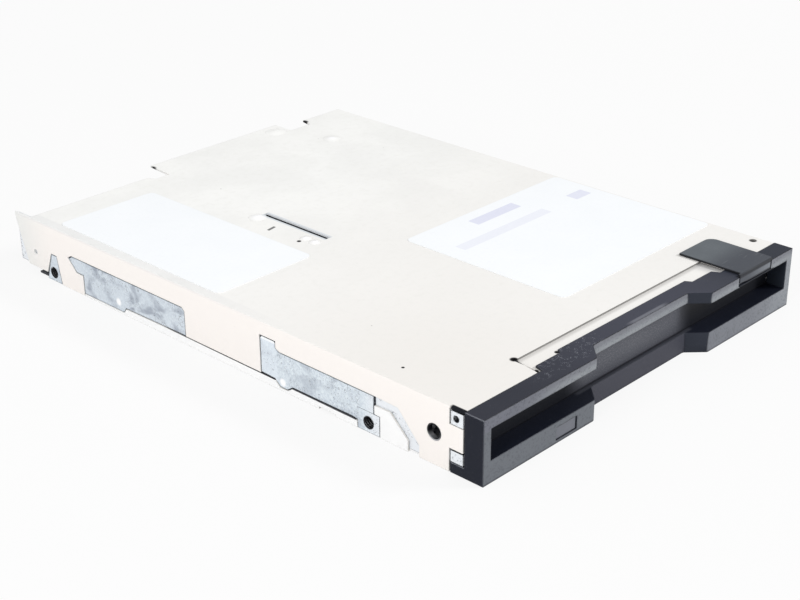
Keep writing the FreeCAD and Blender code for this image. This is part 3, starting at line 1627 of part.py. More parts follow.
def make_stepper():
    """Stepper motor lying along Y, its lead screw, and the bracket that bears both."""
    can_front = behind(motor_front)
    centre = (s.screw_x, screw_z)
    can = cylinder("stepper_can", centre, can_front, can_front + s.motor_length, s.motor_radius, "Y")
    bore_end = can_front + s.motor_length - s.motor_end_wall
    bore = cylinder("stepper_bore", centre, can_front, bore_end, s.journal_radius + s.running_fit, "Y")
    keep(pierced("stepper_hollow", can, bore), "stepper_motor")

    screw_start = behind(bracket_front)
    thread = cylinder("screw_thread", centre, screw_start + 1.2, can_front - 1.2, s.screw_radius, "Y")
    journal_end = bore_end - s.journal_end_room
    journal = cylinder("screw_journal", centre, screw_start - 0.3, journal_end, s.journal_radius, "Y")
    keep(joined("screw_whole", thread, journal), "lead_screw")

    bracket = Piece("stepper_bracket")
    web_left = s.screw_x + s.bracket_web
    web_right = web_left + s.bracket_sheet
    low = screw_z - 1.6
    bracket.add("YZ", web_left, web_right, Rectangle(behind(bracket_front), can_front, low, screw_z + 1.1))
    hole = Circle(s.screw_x, screw_z, s.journal_radius + s.running_fit)
    end = Rectangle(s.screw_x - 1.6, web_right, low, screw_z + 1.3)
    bracket.add("XZ", behind(bracket_front), behind(bracket_front + s.bracket_sheet), end, hole)
    plate = Rectangle(s.screw_x - s.motor_radius, web_right, low, screw_z + s.bracket_rise)
    bracket.add("XZ", can_front - s.bracket_sheet, can_front, plate, hole)
    flange = Rectangle(web_left, s.screw_x + s.bracket_reach, behind(bracket_front + 2), behind(motor_front - 2))
    holes = [Circle(x, y, s.fixing_radius) for x, y in deck_screw_places()[2:]]
    bracket.add("XY", s.deck_level - s.bracket_sheet, s.deck_level, flange, *holes)


def make_guide_rod():
    centre = (s.rod_x, s.rod_z)
    overhang = s.clamp_length / 2 - 0.5
    rod_span = (behind(clamp_front_y - overhang), behind(clamp_rear_y + overhang))
    keep(cylinder("rod", centre, *rod_span, s.rod_radius, "Y"), "guide_rod")
    for label, spot in zip(("rod_clamp_front", "rod_clamp_rear"), deck_screw_places()):
        clamp = Piece(label)
        wing = s.deck_level - 0.7
        profile = Polygon(
            (s.rod_x - s.clamp_wing, wing),
            (s.rod_x - 1.7, wing),
            (s.rod_x - 1.7, s.rod_z - 1.35),
            (s.rod_x + 1.4, s.rod_z - 1.35),
            (s.rod_x + 1.4, s.rod_z + 1.35),
            (s.rod_x - 1.7, s.rod_z + 1.35),
            (s.rod_x - 1.7, s.deck_level),
            (s.rod_x - s.clamp_wing, s.deck_level),
        )
        rod_hole = Circle(s.rod_x, s.rod_z, s.rod_radius + s.press_fit)
        clamp.add("XZ", spot[1] - s.clamp_length / 2, spot[1] + s.clamp_length / 2, profile, rod_hole)
        clamp.cut("XY", wing, s.deck_level, Circle(*spot, s.fixing_radius))


def make_carriage():
    """Carriage of the two heads: a bed on the guide rod, and an upright that bears the upper arm."""
    carriage = Piece("head_carriage")
    low, high = s.carriage_low, s.carriage_high
    side = s.carriage_half
    rear = pivot_at + s.carriage_rear
    top = arm_z - s.arm_eye
    carriage.add("XY", low, high, Rectangle(-side, side, head_at - s.carriage_front, rear))
    bush = Rectangle(s.rod_x - 2, -side + 0.2, s.rod_z - 1.45, s.rod_z + 1.45)
    bore = Circle(s.rod_x, s.rod_z, s.rod_radius + 0.03)
    carriage.add("XZ", behind(bush_front), behind(bush_rear), bush, bore)
    wing = Rectangle(side - 0.2, s.screw_x - s.follower_half, behind(follower_front), behind(follower_rear))
    carriage.add("XY", low, high, wing)
    carriage.add("XY", high - 0.1, top, Rectangle(-side, side, pivot_at - s.upright_length, rear))
    for _, inner, outer in spans(side - s.upright_ear, side):
        ear = Polygon(
            (pivot_at - 2.0, top - 0.1),
            (rear, top - 0.1),
            (pivot_at + 1.3, arm_z + 1.2),
            (pivot_at - 1.2, arm_z + 1.2),
        )
        carriage.add("YZ", inner, outer, ear, Circle(pivot_at, arm_z, s.arm_pin + s.press_fit))
    chip_side = s.head_half + s.running_fit
    chip_room = Rectangle(-chip_side, chip_side, head_at - chip_side, head_at + chip_side)
    carriage.cut("XY", high - 0.7, high, chip_room)
    vane = Rectangle(pivot_at, pivot_at + s.vane_length, high - 1.5, high - 0.1)
    carriage.add("YZ", -side + 0.2, -side + 0.8, vane)

    follower = Piece("screw_follower")
    block = Rectangle(s.screw_x - s.follower_half, s.screw_x + 1.6, screw_z - 1.45, screw_z + 1.25)
    hole = Circle(s.screw_x, screw_z, s.screw_radius + s.running_fit)
    follower.add("XZ", behind(follower_front), behind(follower_rear), block, hole)

    across = (-s.head_half, s.head_half)
    along = (head_at - s.head_half, head_at + s.head_half)
    keep(box("lower_chip", across, along, (high - 0.7, disk_middle - 0.05)), "lower_head")
    pin = cylinder("hinge_pin", (pivot_at, arm_z), -side + 0.1, side - 0.1, s.arm_pin, "X")
    keep(pin, "arm_pin")


def make_upper_arm():
    """Arm of the upper head, drawn level about its hinge and raised as in the empty drive."""
    thick = s.arm_sheet / 2
    side = s.arm_half
    tip = -s.arm_length
    rest_at = holder_rear + s.arm_riser_set - pivot_y
    arm = Piece("upper_arm")
    blade = Polygon(
        (-side + 0.9, tip - 1.4),
        (side - 0.9, tip - 1.4),
        (side, tip / 2),
        (side, -0.5),
        (-side, -0.5),
        (-side, tip / 2),
    )
    arm.add("XY", -thick, thick, blade)
    bore = Circle(0, 0, s.arm_pin + s.running_fit)
    arm.add("YZ", -side, side, Circle(0, 0, s.arm_eye))
    arm.cut("YZ", -side - 0.1, side + 0.1, bore)
    riser = Rectangle(rest_at - 1, rest_at + 1, -thick, 0.9)
    arm.add("YZ", side - 0.3, side + 0.2, riser)
    arm.add("XY", 0.4, 0.9, Rectangle(side - 0.3, s.holder_opening + 2, rest_at - 1, rest_at + 1))
    pivot = (0, pivot_at, arm_z)
    arm.place(*pivot, (1, 0, 0), s.arm_rest)

    chip = Piece("upper_head")
    half_chip = s.head_half
    outline = Rectangle(-half_chip, half_chip, tip - half_chip, tip + half_chip)
    chip.add("XY", disk_middle - arm_z, -thick, outline)
    chip.place(*pivot, (1, 0, 0), s.arm_rest)

    spring = Piece("arm_spring")
    ring = Circle(0, 0, s.arm_pin + 0.45)
    spring.add("YZ", -side - 1.3, -side - 0.2, ring, Circle(0, 0, s.arm_pin + s.running_fit))
    spring.place(*pivot)


def make_head_flex():
    """Flat cable of the heads: a loop from the carriage's rear down to the main board."""
    flex = Piece("head_flex")
    skin = s.flex_skin
    rear = pivot_at + s.carriage_rear
    high = s.carriage_high - 1.7
    low = main_board_top
    bend = rear + 5
    profile = Polygon(
        (rear, high),
        (bend, high),
        (bend, low),
        (rear - 2, low),
        (rear - 2, low + skin),
        (bend - skin, low + skin),
        (bend - skin, high - skin),
        (rear, high - skin),
    )
    flex.add("YZ", 0.5, 0.5 + s.flex_width, profile)


def make_track_sensor():
    sensor = Piece("track_sensor")
    start = pivot_at + s.sensor_gap
    vane = -s.carriage_half + 0.5
    outline = Rectangle(vane - 2.3, vane + 2.3, main_board_top, main_board_top + s.sensor_height)
    sensor.add("XZ", start, start + s.sensor_length, outline)
    slot = Rectangle(vane - 0.8, vane + 0.8, main_board_top + 0.8, main_board_top + s.sensor_height)
    sensor.cut("XZ", start, start + s.sensor_length, slot)


make_top_cover()
make_base_cover()
make_frame()
make_bezel()
make_light()
make_shutter_door()
make_door_spring()
make_eject_slider()
make_labels()
make_slide_plate()
make_slide_springs()
make_disk_holder()
make_holder_studs()
make_trigger_lever()
make_spindle()
make_boards()
make_screws()
make_switches()
make_connector()
make_stepper()
make_guide_rod()
make_carriage()
make_upper_arm()
make_head_flex()
make_track_sensor()


# Checks and files


def check_features(body):
    """Each pad adds material and each pocket takes some away."""
    volume = 0.0
    for feature in body.Group:
        if feature.TypeId.startswith("PartDesign::") and hasattr(feature, "Shape"):
            grows = feature.TypeId in ("PartDesign::Pad", "PartDesign::Revolution")
            if grows and feature.Shape.Volume <= volume or not grows and feature.Shape.Volume == volume:
                raise RuntimeError(f"{feature.Label} changed nothing")
            volume = feature.Shape.Volume


doc.recompute()
for item in doc.Objects:
    if "Invalid" in item.State or "Error" in item.State:
        raise RuntimeError(f"{item.Label} failed: {item.State}")
for piece in pieces:
    if piece.Shape.isNull() or not piece.Shape.isValid():
        raise RuntimeError(f"{piece.Label} has no valid shape")
    if piece.TypeId == "PartDesign::Body":
        check_features(piece)

os.makedirs("parts", exist_ok=True)
for piece in pieces:
    piece.Shape.exportStep(f"parts/{piece.Label}.step")
    print(piece.Label, len(piece.Shape.Solids), round(piece.Shape.Volume, 2))
print("pieces", len(pieces))
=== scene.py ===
import math
from functools import cached_property, partialmethod

import bmesh
import bpy
import numpy as np
from mathutils import Euler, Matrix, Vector


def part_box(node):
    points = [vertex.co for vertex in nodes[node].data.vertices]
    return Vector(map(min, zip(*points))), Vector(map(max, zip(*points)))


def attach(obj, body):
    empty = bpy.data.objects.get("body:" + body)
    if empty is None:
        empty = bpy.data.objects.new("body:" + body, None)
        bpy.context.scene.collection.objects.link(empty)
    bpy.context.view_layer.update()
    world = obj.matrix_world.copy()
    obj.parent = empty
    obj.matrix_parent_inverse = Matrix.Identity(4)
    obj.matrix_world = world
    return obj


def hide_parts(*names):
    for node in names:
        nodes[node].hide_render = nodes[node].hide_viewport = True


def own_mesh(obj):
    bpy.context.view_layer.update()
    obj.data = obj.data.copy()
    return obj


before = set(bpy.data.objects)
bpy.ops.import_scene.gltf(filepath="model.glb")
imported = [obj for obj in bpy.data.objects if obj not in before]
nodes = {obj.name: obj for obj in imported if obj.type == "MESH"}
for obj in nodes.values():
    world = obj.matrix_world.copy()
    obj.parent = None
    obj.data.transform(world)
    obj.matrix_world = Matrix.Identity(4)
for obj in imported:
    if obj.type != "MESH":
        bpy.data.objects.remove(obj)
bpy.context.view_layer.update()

# Slim 3.5-inch floppy disk drive. Metres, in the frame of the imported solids:
# the origin under the middle of the drive, X to the right, Y from the bezel to the rear, Z up.

MM = 0.001
TURN = 2 * math.pi

# Places on the drive, in millimetres.
COVER_TOP = 12.7
WALL = 47.5
SPINDLE_Y = -16.0
LUGS_Y, LUGS_Z = (-40.4, 53.8), 2.0
DIMPLES = ((-18.1, 1.75, 1.05), (31.4, 2.3, 1.0))
NOTICE_LABEL = (-45.7, -20.9, 1.8, 53.4)
RATING_LABEL = (-2.4, 47.3, -47.8, -6.4)


def span(node):
    """The low and the high corner of a solid's box, in millimetres."""
    return [np.array(corner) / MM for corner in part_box(node)]


def angles(count):
    """Evenly spaced angles once round."""
    return np.arange(count) / count * TURN


# Values and finishes


def add_node(tree, kind, settings=None, values=None):
    """Adds a shader node of a kind: its settings first, then the numbers or links of its sockets."""
    node = tree.nodes.new("ShaderNode" + kind)
    for name, setting in (settings or {}).items():
        setattr(node, name, setting)
    for inlet, term in (values or {}).items():
        feed(tree, term, node.inputs[inlet])
    return node


def feed(tree, term, inlet):
    """Links a value or a socket to a socket, or sets a number or a colour on it."""
    if isinstance(term, (Value, bpy.types.NodeSocket)):
        tree.links.new(getattr(term, "socket", term), inlet)
    else:
        inlet.default_value = term


def value(tree, kind, output, settings=None, values=None):
    """A value from one socket of a new node."""
    return Value(tree, add_node(tree, kind, settings, values).outputs[output])


class Value:
    """A number that varies over a surface. Arithmetic on it adds Math nodes."""

    def __init__(self, tree, socket):
        self.tree, self.socket = tree, socket

    def math(self, operation, *others):
        terms = dict(enumerate((self, *others)))
        return value(self.tree, "Math", 0, {"operation": operation}, terms)

    __add__ = __radd__ = partialmethod(math, "ADD")
    __sub__ = partialmethod(math, "SUBTRACT")
    __rsub__ = partialmethod(math, "MULTIPLY_ADD", -1.0)
    __mul__ = __rmul__ = partialmethod(math, "MULTIPLY")
    __truediv__ = partialmethod(math, "DIVIDE")
    __pow__ = partialmethod(math, "POWER")
    __abs__ = partialmethod(math, "ABSOLUTE")
    least = partialmethod(math, "MINIMUM")
    most = partialmethod(math, "MAXIMUM")
    sine = partialmethod(math, "SINE")

    def wrapped(self, length):
        """The value folded back into 0 to a length."""
        return self.math("WRAP", length, 0.0)

    def rise(self, start, end):
        """Smoothly from 0 to 1 as the value goes from start to end."""
        values = {"Value": self, "From Min": start, "From Max": end}
        smooth = {"interpolation_type": "SMOOTHSTEP"}
        return value(self.tree, "MapRange", "Result", smooth, values)

    def within(self, low, high, soft):
        """1 between low and high, falling to 0 over soft outside them."""
        return self.rise(low - soft, low) * self.rise(high + soft, high)


def tone(red, green, blue):
    """A colour written as screen values from 0 to 255, as the linear colour that a socket takes."""
    shares = [part / 255 for part in (red, green, blue)]
    linear = [v / 12.92 if v <= 0.04045 else ((v + 0.055) / 1.055) ** 2.4 for v in shares]
    return (*linear, 1.0)


class Finish:
    """One material: a Principled shader, and the nodes that feed it from the place on the object. Its
    colour is laid on in layers. Radius is how far the sharp edges are softened, in millimetres."""

    def __init__(self, name, slot, radius=None, shine=0.5, metallic=0, **constants):
        self.material = bpy.data.materials.new(name)
        self.material.use_nodes = True
        self.slot, self.radius = slot, radius
        self.tree = self.material.node_tree
        self.shader = self.tree.nodes["Principled BSDF"]
        constants.update(Specular_IOR_Level=shine, Metallic=metallic)
        for socket, number in constants.items():
            self.shader.inputs[socket.replace("_", " ")].default_value = number
        self.place = value(self.tree, "TexCoord", "Object")
        split = add_node(self.tree, "SeparateXYZ", values={"Vector": self.place})
        self.x, self.y, self.z = (Value(self.tree, socket) / MM for socket in split.outputs)

    def noise(self, size, detail=2, rough=0.5, bend=0, along=(1, 1, 1)):
        """Clouds about size millimetres across, from 0 to 1, longer by a factor along each axis."""
        place = self.place
        if along != (1, 1, 1):
            values = {"Vector": place, "Scale": [1 / part for part in along]}
            place = value(self.tree, "Mapping", "Vector", None, values)
        values = {"Vector": place, "Scale": 1 / (size * MM), "Detail": detail, "Roughness": rough}
        return value(self.tree, "TexNoise", "Fac", None, {**values, "Distortion": bend})

    def cells(self, size, feature="F1", output="Distance", loose=1):
        """Cells about size millimetres across: the distance to their middle, or a colour each."""
        values = {"Vector": self.place, "Scale": 1 / (size * MM), "Randomness": loose}
        return value(self.tree, "TexVoronoi", output, {"feature": feature}, values)

    def blend(self, share, first, second):
        """The first colour where share is 0, the second where it is 1. Plain colours are screen values."""
        terms = (tone(*term) if isinstance(term, tuple) else term for term in (share, first, second))
        return value(self.tree, "Mix", 2, {"data_type": "RGBA"}, dict(zip((0, 6, 7), terms)))

    def base(self, share, first, second):
        """The first layer of the colour: from one colour to another by share."""
        self.colour = self.blend(share, first, second)

    def over(self, share, colour):
        """Lays a colour over the layers so far, by share."""
        self.colour = self.blend(share, self.colour, colour)

    def rounded(self, radius):
        """The surface's direction with its sharp edges softened over a radius in millimetres."""
        return value(self.tree, "Bevel", "Normal", {"samples": 6}, {"Radius": radius * MM})

    @cached_property
    def sharp(self):
        """The surface's own direction."""
        return value(self.tree, "NewGeometry", "Normal")

    @cached_property
    def soft(self):
        return self.rounded(self.radius)

    @cached_property
    def edge(self):
        return self.edges(self.soft)

    def dot(self, first, second):
        product = {"operation": "DOT_PRODUCT"}
        return value(self.tree, "VectorMath", "Value", product, {0: first, 1: second})

    def facing(self, x, y, z, soft=False):
        """How far the surface faces a direction: 1 toward it, 0 across it, -1 away."""
        return self.dot(self.soft if soft else self.sharp, (x, y, z))

    def reach(self, across, along, axes="xy"):
        """The distance from a place on two axes."""
        first, second = (getattr(self, axis) for axis in axes)
        return ((first - across) ** 2 + (second - along) ** 2) ** 0.5

    def spot(self, across, along, radius, soft, axes="xy"):
        """1 inside a round spot about a place on two axes, fading to 0 over soft inside its radius."""
        return self.reach(across, along, axes).rise(radius, radius - soft)

    def edges(self, soft):
        """Near 1 along the sharp edges and 0 on flat faces, from a softened direction."""
        return (1 - self.dot(soft, self.sharp)).rise(0.004, 0.12)

    def close(self, rough, height, depth, strength=1, metallic=None):
        """Feeds the shader: the layers of colour, the roughness, and bumps depth millimetres high."""
        bump = {"Height": height, "Distance": depth * MM, "Strength": strength}
        if self.radius:
            bump["Normal"] = self.soft
        relief = value(self.tree, "Bump", "Normal", None, bump)
        feeds = {"Base Color": self.colour, "Roughness": rough, "Metallic": metallic, "Normal": relief}
        for socket, term in feeds.items():
            if term is not None:
                feed(self.tree, term, self.shader.inputs[socket])
        return self


def make_cover_paint(name, wall, dark=(), pale=()):
    """Off-white satin sheet with faint clouds, a rolled grain, rub marks and paler edges, and painted shade
    that makes it darker and warmer toward the front left; the side walls take a tone of their own, painted
    light.
    Dark and pale are round marks on the top: x, y and reach, the dark ones painted shade in holes and gaps
    with two small dark marks, the pale ones painted highlights on the bumps. With them it is the cover,
    which has painted shade along its step, in its cuts and corners, a painted dark reflection on its left
    bend and a painted shadow under the slider's edge, and a bluish band round the slit painted as the lit
    steel seen through it; without them the base, which has a painted shade line in the seam under the
    cover's wall and in the gap at its rear left."""
    skin = Finish(name, "painted_steel", 0.16, shine=0.08)
    x, y, z = skin.x, skin.y, skin.z
    clouds = skin.noise(16, 3, 0.55, 0.4)
    small = skin.noise(1.6, 4, 0.6)
    grain = skin.noise(0.22, along=(1, 5, 1))
    rubs = skin.noise(0.9, 3, 0.6, 0.2, along=(12, 1, 1)).rise(0.66, 0.78)
    pips = skin.cells(7.5).rise(0.035, 0.012) * skin.noise(9, 1).rise(0.52, 0.6)
    upright = abs(skin.facing(1, 0, 0)).rise(0.6, 0.95)
    # Painted shade: the top darker and warmer toward the front and the front left.
    ahead = y.rise(40, -30)
    left = x.rise(0, -40) * y.rise(-10, -50)
    skin.base(clouds.rise(0.3, 0.7), (235, 235, 233), (241, 241, 239))
    skin.over(ahead * 0.85, (234, 232, 229))
    skin.over(left * 0.85, (230, 227, 223))
    skin.over(small.rise(0.45, 0.75) * 0.25, (224, 223, 219))
    # Painted light: the side walls take a tone of their own, greyer toward the rear.
    skin.over(upright, skin.blend(y.rise(52, 70), wall, (226, 227, 225)))
    skin.over(rubs * 0.18, (250, 249, 246))
    skin.over(pips * 0.7, (120, 116, 110))
    skin.over(skin.edge * (0.35 + 0.5 * small), (248, 247, 244))
    if dark:
        high = z.rise(12.2, 12.28)
        strip = x.within(-28.2, 29.9, 0.3)
        # Painted dark reflection on the left bend toward the rear; painted shade in the step's corner and
        # on its wall; painted shadow cast by the slider's left edge on the strip.
        bend = abs(x + 47).rise(1.6, 0.9) * high * y.rise(-30, 20)
        corner = strip * y.within(-57.3, -56.8, 0.9) * z.within(12.2, 12.35, 0.05)
        cast = x.rise(25.5, 29) * y.within(-63, -57, 0.1) * z.within(12.2, 12.35, 0.05)
        step = strip * y.within(-57.25, -56.7, 0.1) * skin.facing(0, -1, 0).rise(0.5, 0.9)
        # Painted light: a bluish band round the slit, standing for the lit steel seen through it.
        rim = x.within(-13.4, -11.4, 0.3) * y.within(6, 25.5, 0.3) * high
        skin.over(bend * 0.25, (206, 207, 210))
        skin.over(corner * 0.5, (176, 174, 171))
        skin.over(cast * 0.6, (168, 168, 170))
        skin.over(step * 0.9, (128, 126, 124))
        skin.over(rim * 0.6, (196, 204, 212))
        # Painted highlights on the pressed bumps.
        for across, along, reach in pale:
            skin.over(skin.spot(across, along, reach, 0.9 * reach) * high * 0.75, (250, 250, 253))
        # Painted shade in holes, gaps and notch corners, and two small dark marks.
        for across, along, reach in dark:
            skin.over(skin.spot(across, along, reach, 0.45 * reach) * z.rise(11.6, 11.9), (30, 29, 31))
        # Painted shade in the shear cut, in the gap at the front left corner and on the inner walls near
        # the bezel; the dash is a dark mark.
        cut = x.within(-28.4, -28.15, 0.08) * y.within(-62.2, -57, 0.1)
        dash = abs(y - 18.5 - 0.17 * (x + 16.9)).rise(0.5, 0.2) * x.within(-17.9, -15.9, 0.3)
        ends = x.rise(-47.1, -47.4) * y.rise(-59.3, -59.9)
        inner = abs(x).within(47, 47.65, 0.1) * y.rise(-57, -59) * z.rise(12, 11.8)
        skin.over((cut.most(dash * 0.8).most(ends) * high).most(inner), (26, 28, 34))
    else:
        # Painted shade in the seam under the cover's wall and in the gap at the rear left.
        thick = z.within(1.4, 1.8, 0.1) * y.within(-37.2, -20, 0.1)
        thin = z.within(1.63, 1.8, 0.05) * y.within(-20, 31, 0.1) * y.rise(60, -10)
        seam = thick.most(thin) * abs(x).rise(47, 47.3)
        slot = x.rise(-46.3, -46.6) * y.rise(56.5, 56.9) * z.rise(1, 0.6)
        skin.over(seam.most(slot) * 0.95, (40, 42, 50))
    return skin.close(0.46 + 0.16 * clouds + 0.12 * small - 0.08 * rubs, 0.6 * grain + 0.4 * small, 0.006)


def make_zinc_sheet():
    """Galvanised sheet: a fine bluish-white mottle, soft grey clouds that darken toward the rear window,
    thin dark scratches in patches, painted shade round the raised panels, over the tall window's lip and in
    the holes, painted shade and highlights in the side hole and the threads, a turned white lip in the tall
    window, and painted highlights on the crowns of the dimples of the side walls."""
    skin = Finish("galvanised_sheet", "galvanised_steel", 0.12, metallic=0.25)
    x, y, z = skin.x, skin.y, skin.z
    crystals = skin.cells(1.4, "SMOOTH_F1", "Color")
    mottle = skin.noise(0.5, 4, 0.7, 0.3)
    clouds = skin.noise(3.4, 3, 0.5, 0.6, along=(1, 1.6, 1))
    beside = abs(x)
    outside = beside.rise(47.2, 47.4)
    rear = y.rise(-20, 24) * y.rise(60, 50)
    ahead = y.rise(-38, -43.5)
    behind = y.rise(57.5, 59.5)
    patch = skin.noise(4.5, 1).rise(0.48, 0.55).most(y.within(-37.5, -31.5, 1.5))
    hairs = abs(skin.noise(1.5, 1, 0.5, 3) - 0.5).rise(0.026, 0.008)
    hairs = hairs * skin.noise(0.7).rise(0.42, 0.56) * patch * (0.15 + 0.85 * outside)
    skin.base(mottle.rise(0.3, 0.7), (196, 206, 216), (228, 236, 241))
    skin.over(crystals * 0.25, (214, 222, 229))
    skin.over(rear * 0.35, (194, 202, 212))
    skin.over(clouds.rise(0.46, 0.7) * (0.38 + 0.4 * rear), (140, 148, 162))
    skin.over(y.within(-16.6, -12, 0.2) * 0.45, (226, 234, 242))
    skin.over(ahead.most(behind) * 0.85, (236, 239, 243))
    skin.over(hairs * 0.7, (78, 82, 94))
    lip = y.within(-16.7, -12, 0.1) * outside
    skin.over(lip * z.rise(9.05, 9.15), (244, 247, 250))
    # Painted shade: a dark gap over the tall window's lip and at its rounded ends.
    round_end = (y + z).rise(-3.2, -3).most((z - y).rise(25.5, 25.7))
    skin.over(lip * z.rise(9.6, 9.65).most(round_end), (30, 32, 40))
    # Painted highlights on the crowns of the dimples.
    for along, up, _ in DIMPLES:
        skin.over(skin.spot(along, up, 1.05, 0.6, "yz") * outside, (253, 253, 254))
    skin.over(skin.edge * 0.4, (236, 238, 242))
    # Painted shade round the raised panels and in the gaps beside them.
    rim = skin.edges(skin.rounded(0.26)) * outside
    gaps = beside.rise(47.8, 47.7) * outside * y.within(-41.8, 57, 0.1)
    skin.over((rim * 0.85).most(gaps), (40, 43, 52))
    # Painted shade and highlight in the side hole: dark above, pale below.
    bore = skin.spot(-56, 6.35, 2.2, 0.1, "yz") * beside.rise(43, 43.5)
    skin.over(bore, skin.blend(z.rise(6.2, 4.8), (20, 22, 28), (170, 172, 176)))
    # Painted shade in the threads, with painted highlights on their crests.
    across, over = abs(y - sum(LUGS_Y) / 2) - (LUGS_Y[1] - LUGS_Y[0]) / 2, z - LUGS_Z
    turn = over.math("ARCTAN2", across) / TURN + beside / 0.5
    crest = abs(turn.wrapped(1) - 0.5).rise(0.44, 0.5)
    thread = ((across**2 + over**2) ** 0.5).rise(1.29, 1.25) * beside.rise(43.8, 44)
    skin.over(thread, skin.blend(crest, (18, 19, 24), (176, 178, 184)))
    # Painted shade in the front ear's hole, and on the inner and upward faces near the bezel.
    skin.over(skin.spot(-60.95, 10.67, 0.72, 0.14, "yz"), (26, 28, 34))
    level = abs(skin.facing(0, 0, 1)).rise(0.7, 0.9)
    skin.over(beside.rise(47, 46.9).most(level) * y.rise(-54, -57), (28, 30, 36))
    return skin.close(0.4 + 0.2 * clouds + 0.1 * mottle, 0.5 * crystals + 0.5 * mottle, 0.006)


def make_bezel_plastic():
    """Charcoal moulded plastic, with painted light: the satin front is painted far paler than the dark
    sides and slot, paler to the right and toward the bottom of the lintel, darker on the bar under the
    recess, at the foot and under the slider's lip; the top, darker at the left, the slanted faces, the
    slot's floor and its right wall take tones of their own; a painted dark reflection follows the top's
    front edge, a painted highlight its left edge and a short bevel on the top; there is pale dust, and fine
    scuffs on the left of the top."""
    skin = Finish("charcoal_moulding", "bezel_plastic", 0.42, shine=0.18)
    x, y, z = skin.x, skin.y, skin.z
    up = skin.facing(0, 0, 1, soft=True)
    ahead = skin.facing(0, -1, 0, soft=True)
    front = ahead.rise(0.78, 0.97)
    slanted = ahead.within(0.5, 0.74, 0.08)
    top = up.rise(0.75, 0.97) * z.rise(12, 12.4)
    sill = up.rise(0.6, 0.9) * z.within(3.9, 4.4, 0.1)
    sill = sill * x.within(-17.5, 17, 1.5) * y.rise(-64, -63.5)
    right_wall = skin.facing(-1, 0, 0).rise(0.7, 0.9) * x.rise(45, 45.8)
    grain = skin.noise(0.16, 2, 0.6)
    clouds = skin.noise(5, 3, 0.5, 0.3)
    speck = skin.noise(0.4, 2, 0.7)
    scuffs = abs(skin.noise(0.55, 3, 0.7, 1.2) - 0.5).rise(0.014, 0.004)
    scuffs = scuffs * skin.noise(0.9).rise(0.52, 0.6)
    scuffed = x.within(-29, -13, 4) * y.within(-64.8, -60, 1.2) * z.rise(12.2, 12.6)
    dust = skin.cells(0.7).rise(0.1, 0.04) * skin.noise(4, 1).rise(0.44, 0.6)
    flat = x.within(-1, 7, 3) * y.within(-63.6, -62.9, 0.3) * top
    # Painted light: the front's tones, paler to the right and toward the lintel's bottom, darker on the bar
    # under the recess, at the foot and under the slider's lip; the top's tone by place.
    lower = skin.blend(x.rise(-30, 30), (106, 110, 116), (122, 125, 132))
    lower = skin.blend(x.rise(34, 46.5), lower, (140, 144, 150))
    lower = skin.blend(y.rise(-65.6, -64.4), lower, (62, 63, 73))
    lintel = skin.blend(z.rise(12.3, 11), (122, 124, 131), (142, 146, 151))
    lintel = skin.blend(x.rise(-24, -40), lintel, (110, 112, 121))
    face = skin.blend(z.rise(10, 10.5), lower, lintel)
    face = skin.blend(z.rise(0.5, 0.1) * 0.6, face, (40, 42, 50))
    face = skin.blend(z.within(10.2, 10.75, 0.05) * x.within(28.6, 41, 0.2), face, (22, 25, 32))
    face = skin.blend(clouds.rise(0.4, 0.8) * 0.15, face, (88, 90, 98))
    plain = skin.blend(x.rise(-40, 0), (44, 46, 56), (61, 63, 75))
    plain = skin.blend(x.rise(12, 40), plain, (44, 48, 58))
    # Dark sides and slot; the right wall, floor, top, slanted faces and front take their own painted-light
    # tones.
    skin.base(clouds, (14, 18, 30), (20, 24, 37))
    skin.over(right_wall, (38, 44, 54))
    skin.over(sill, (56, 58, 66))
    skin.over(top, plain)
    skin.over(slanted, (46, 50, 60))
    skin.over(front, face)
    skin.over(grain.rise(0.55, 0.8) * 0.2, (82, 84, 94))
    skin.over(speck.rise(0.5, 0.3) * (0.12 + 0.25 * front), (50, 53, 62))
    # Painted highlight along the top's left edge.
    edge_highlight = skin.edge * skin.facing(-0.6, -0.4, 0.7, soft=True).rise(0.6, 0.9) * x.rise(-20, -40)
    skin.over(edge_highlight * 0.8, (150, 153, 162))
    # Painted dark reflection along the top's front edge.
    line = skin.facing(0, -0.6, 0.8, soft=True).rise(0.88, 0.97) * z.rise(12.2, 12.5)
    skin.over(line * 0.95, (12, 14, 20))
    # Painted highlight on a short bevel at the top's front edge.
    skin.over(flat * 0.5, (132, 134, 142))
    skin.over(dust * 0.35, (140, 142, 152))
    skin.over(scuffs * scuffed * 0.75, (170, 173, 182))
    return skin.close(0.42 + 0.14 * clouds + 0.1 * grain - 0.08 * skin.edge, grain, 0.012, 0.8)


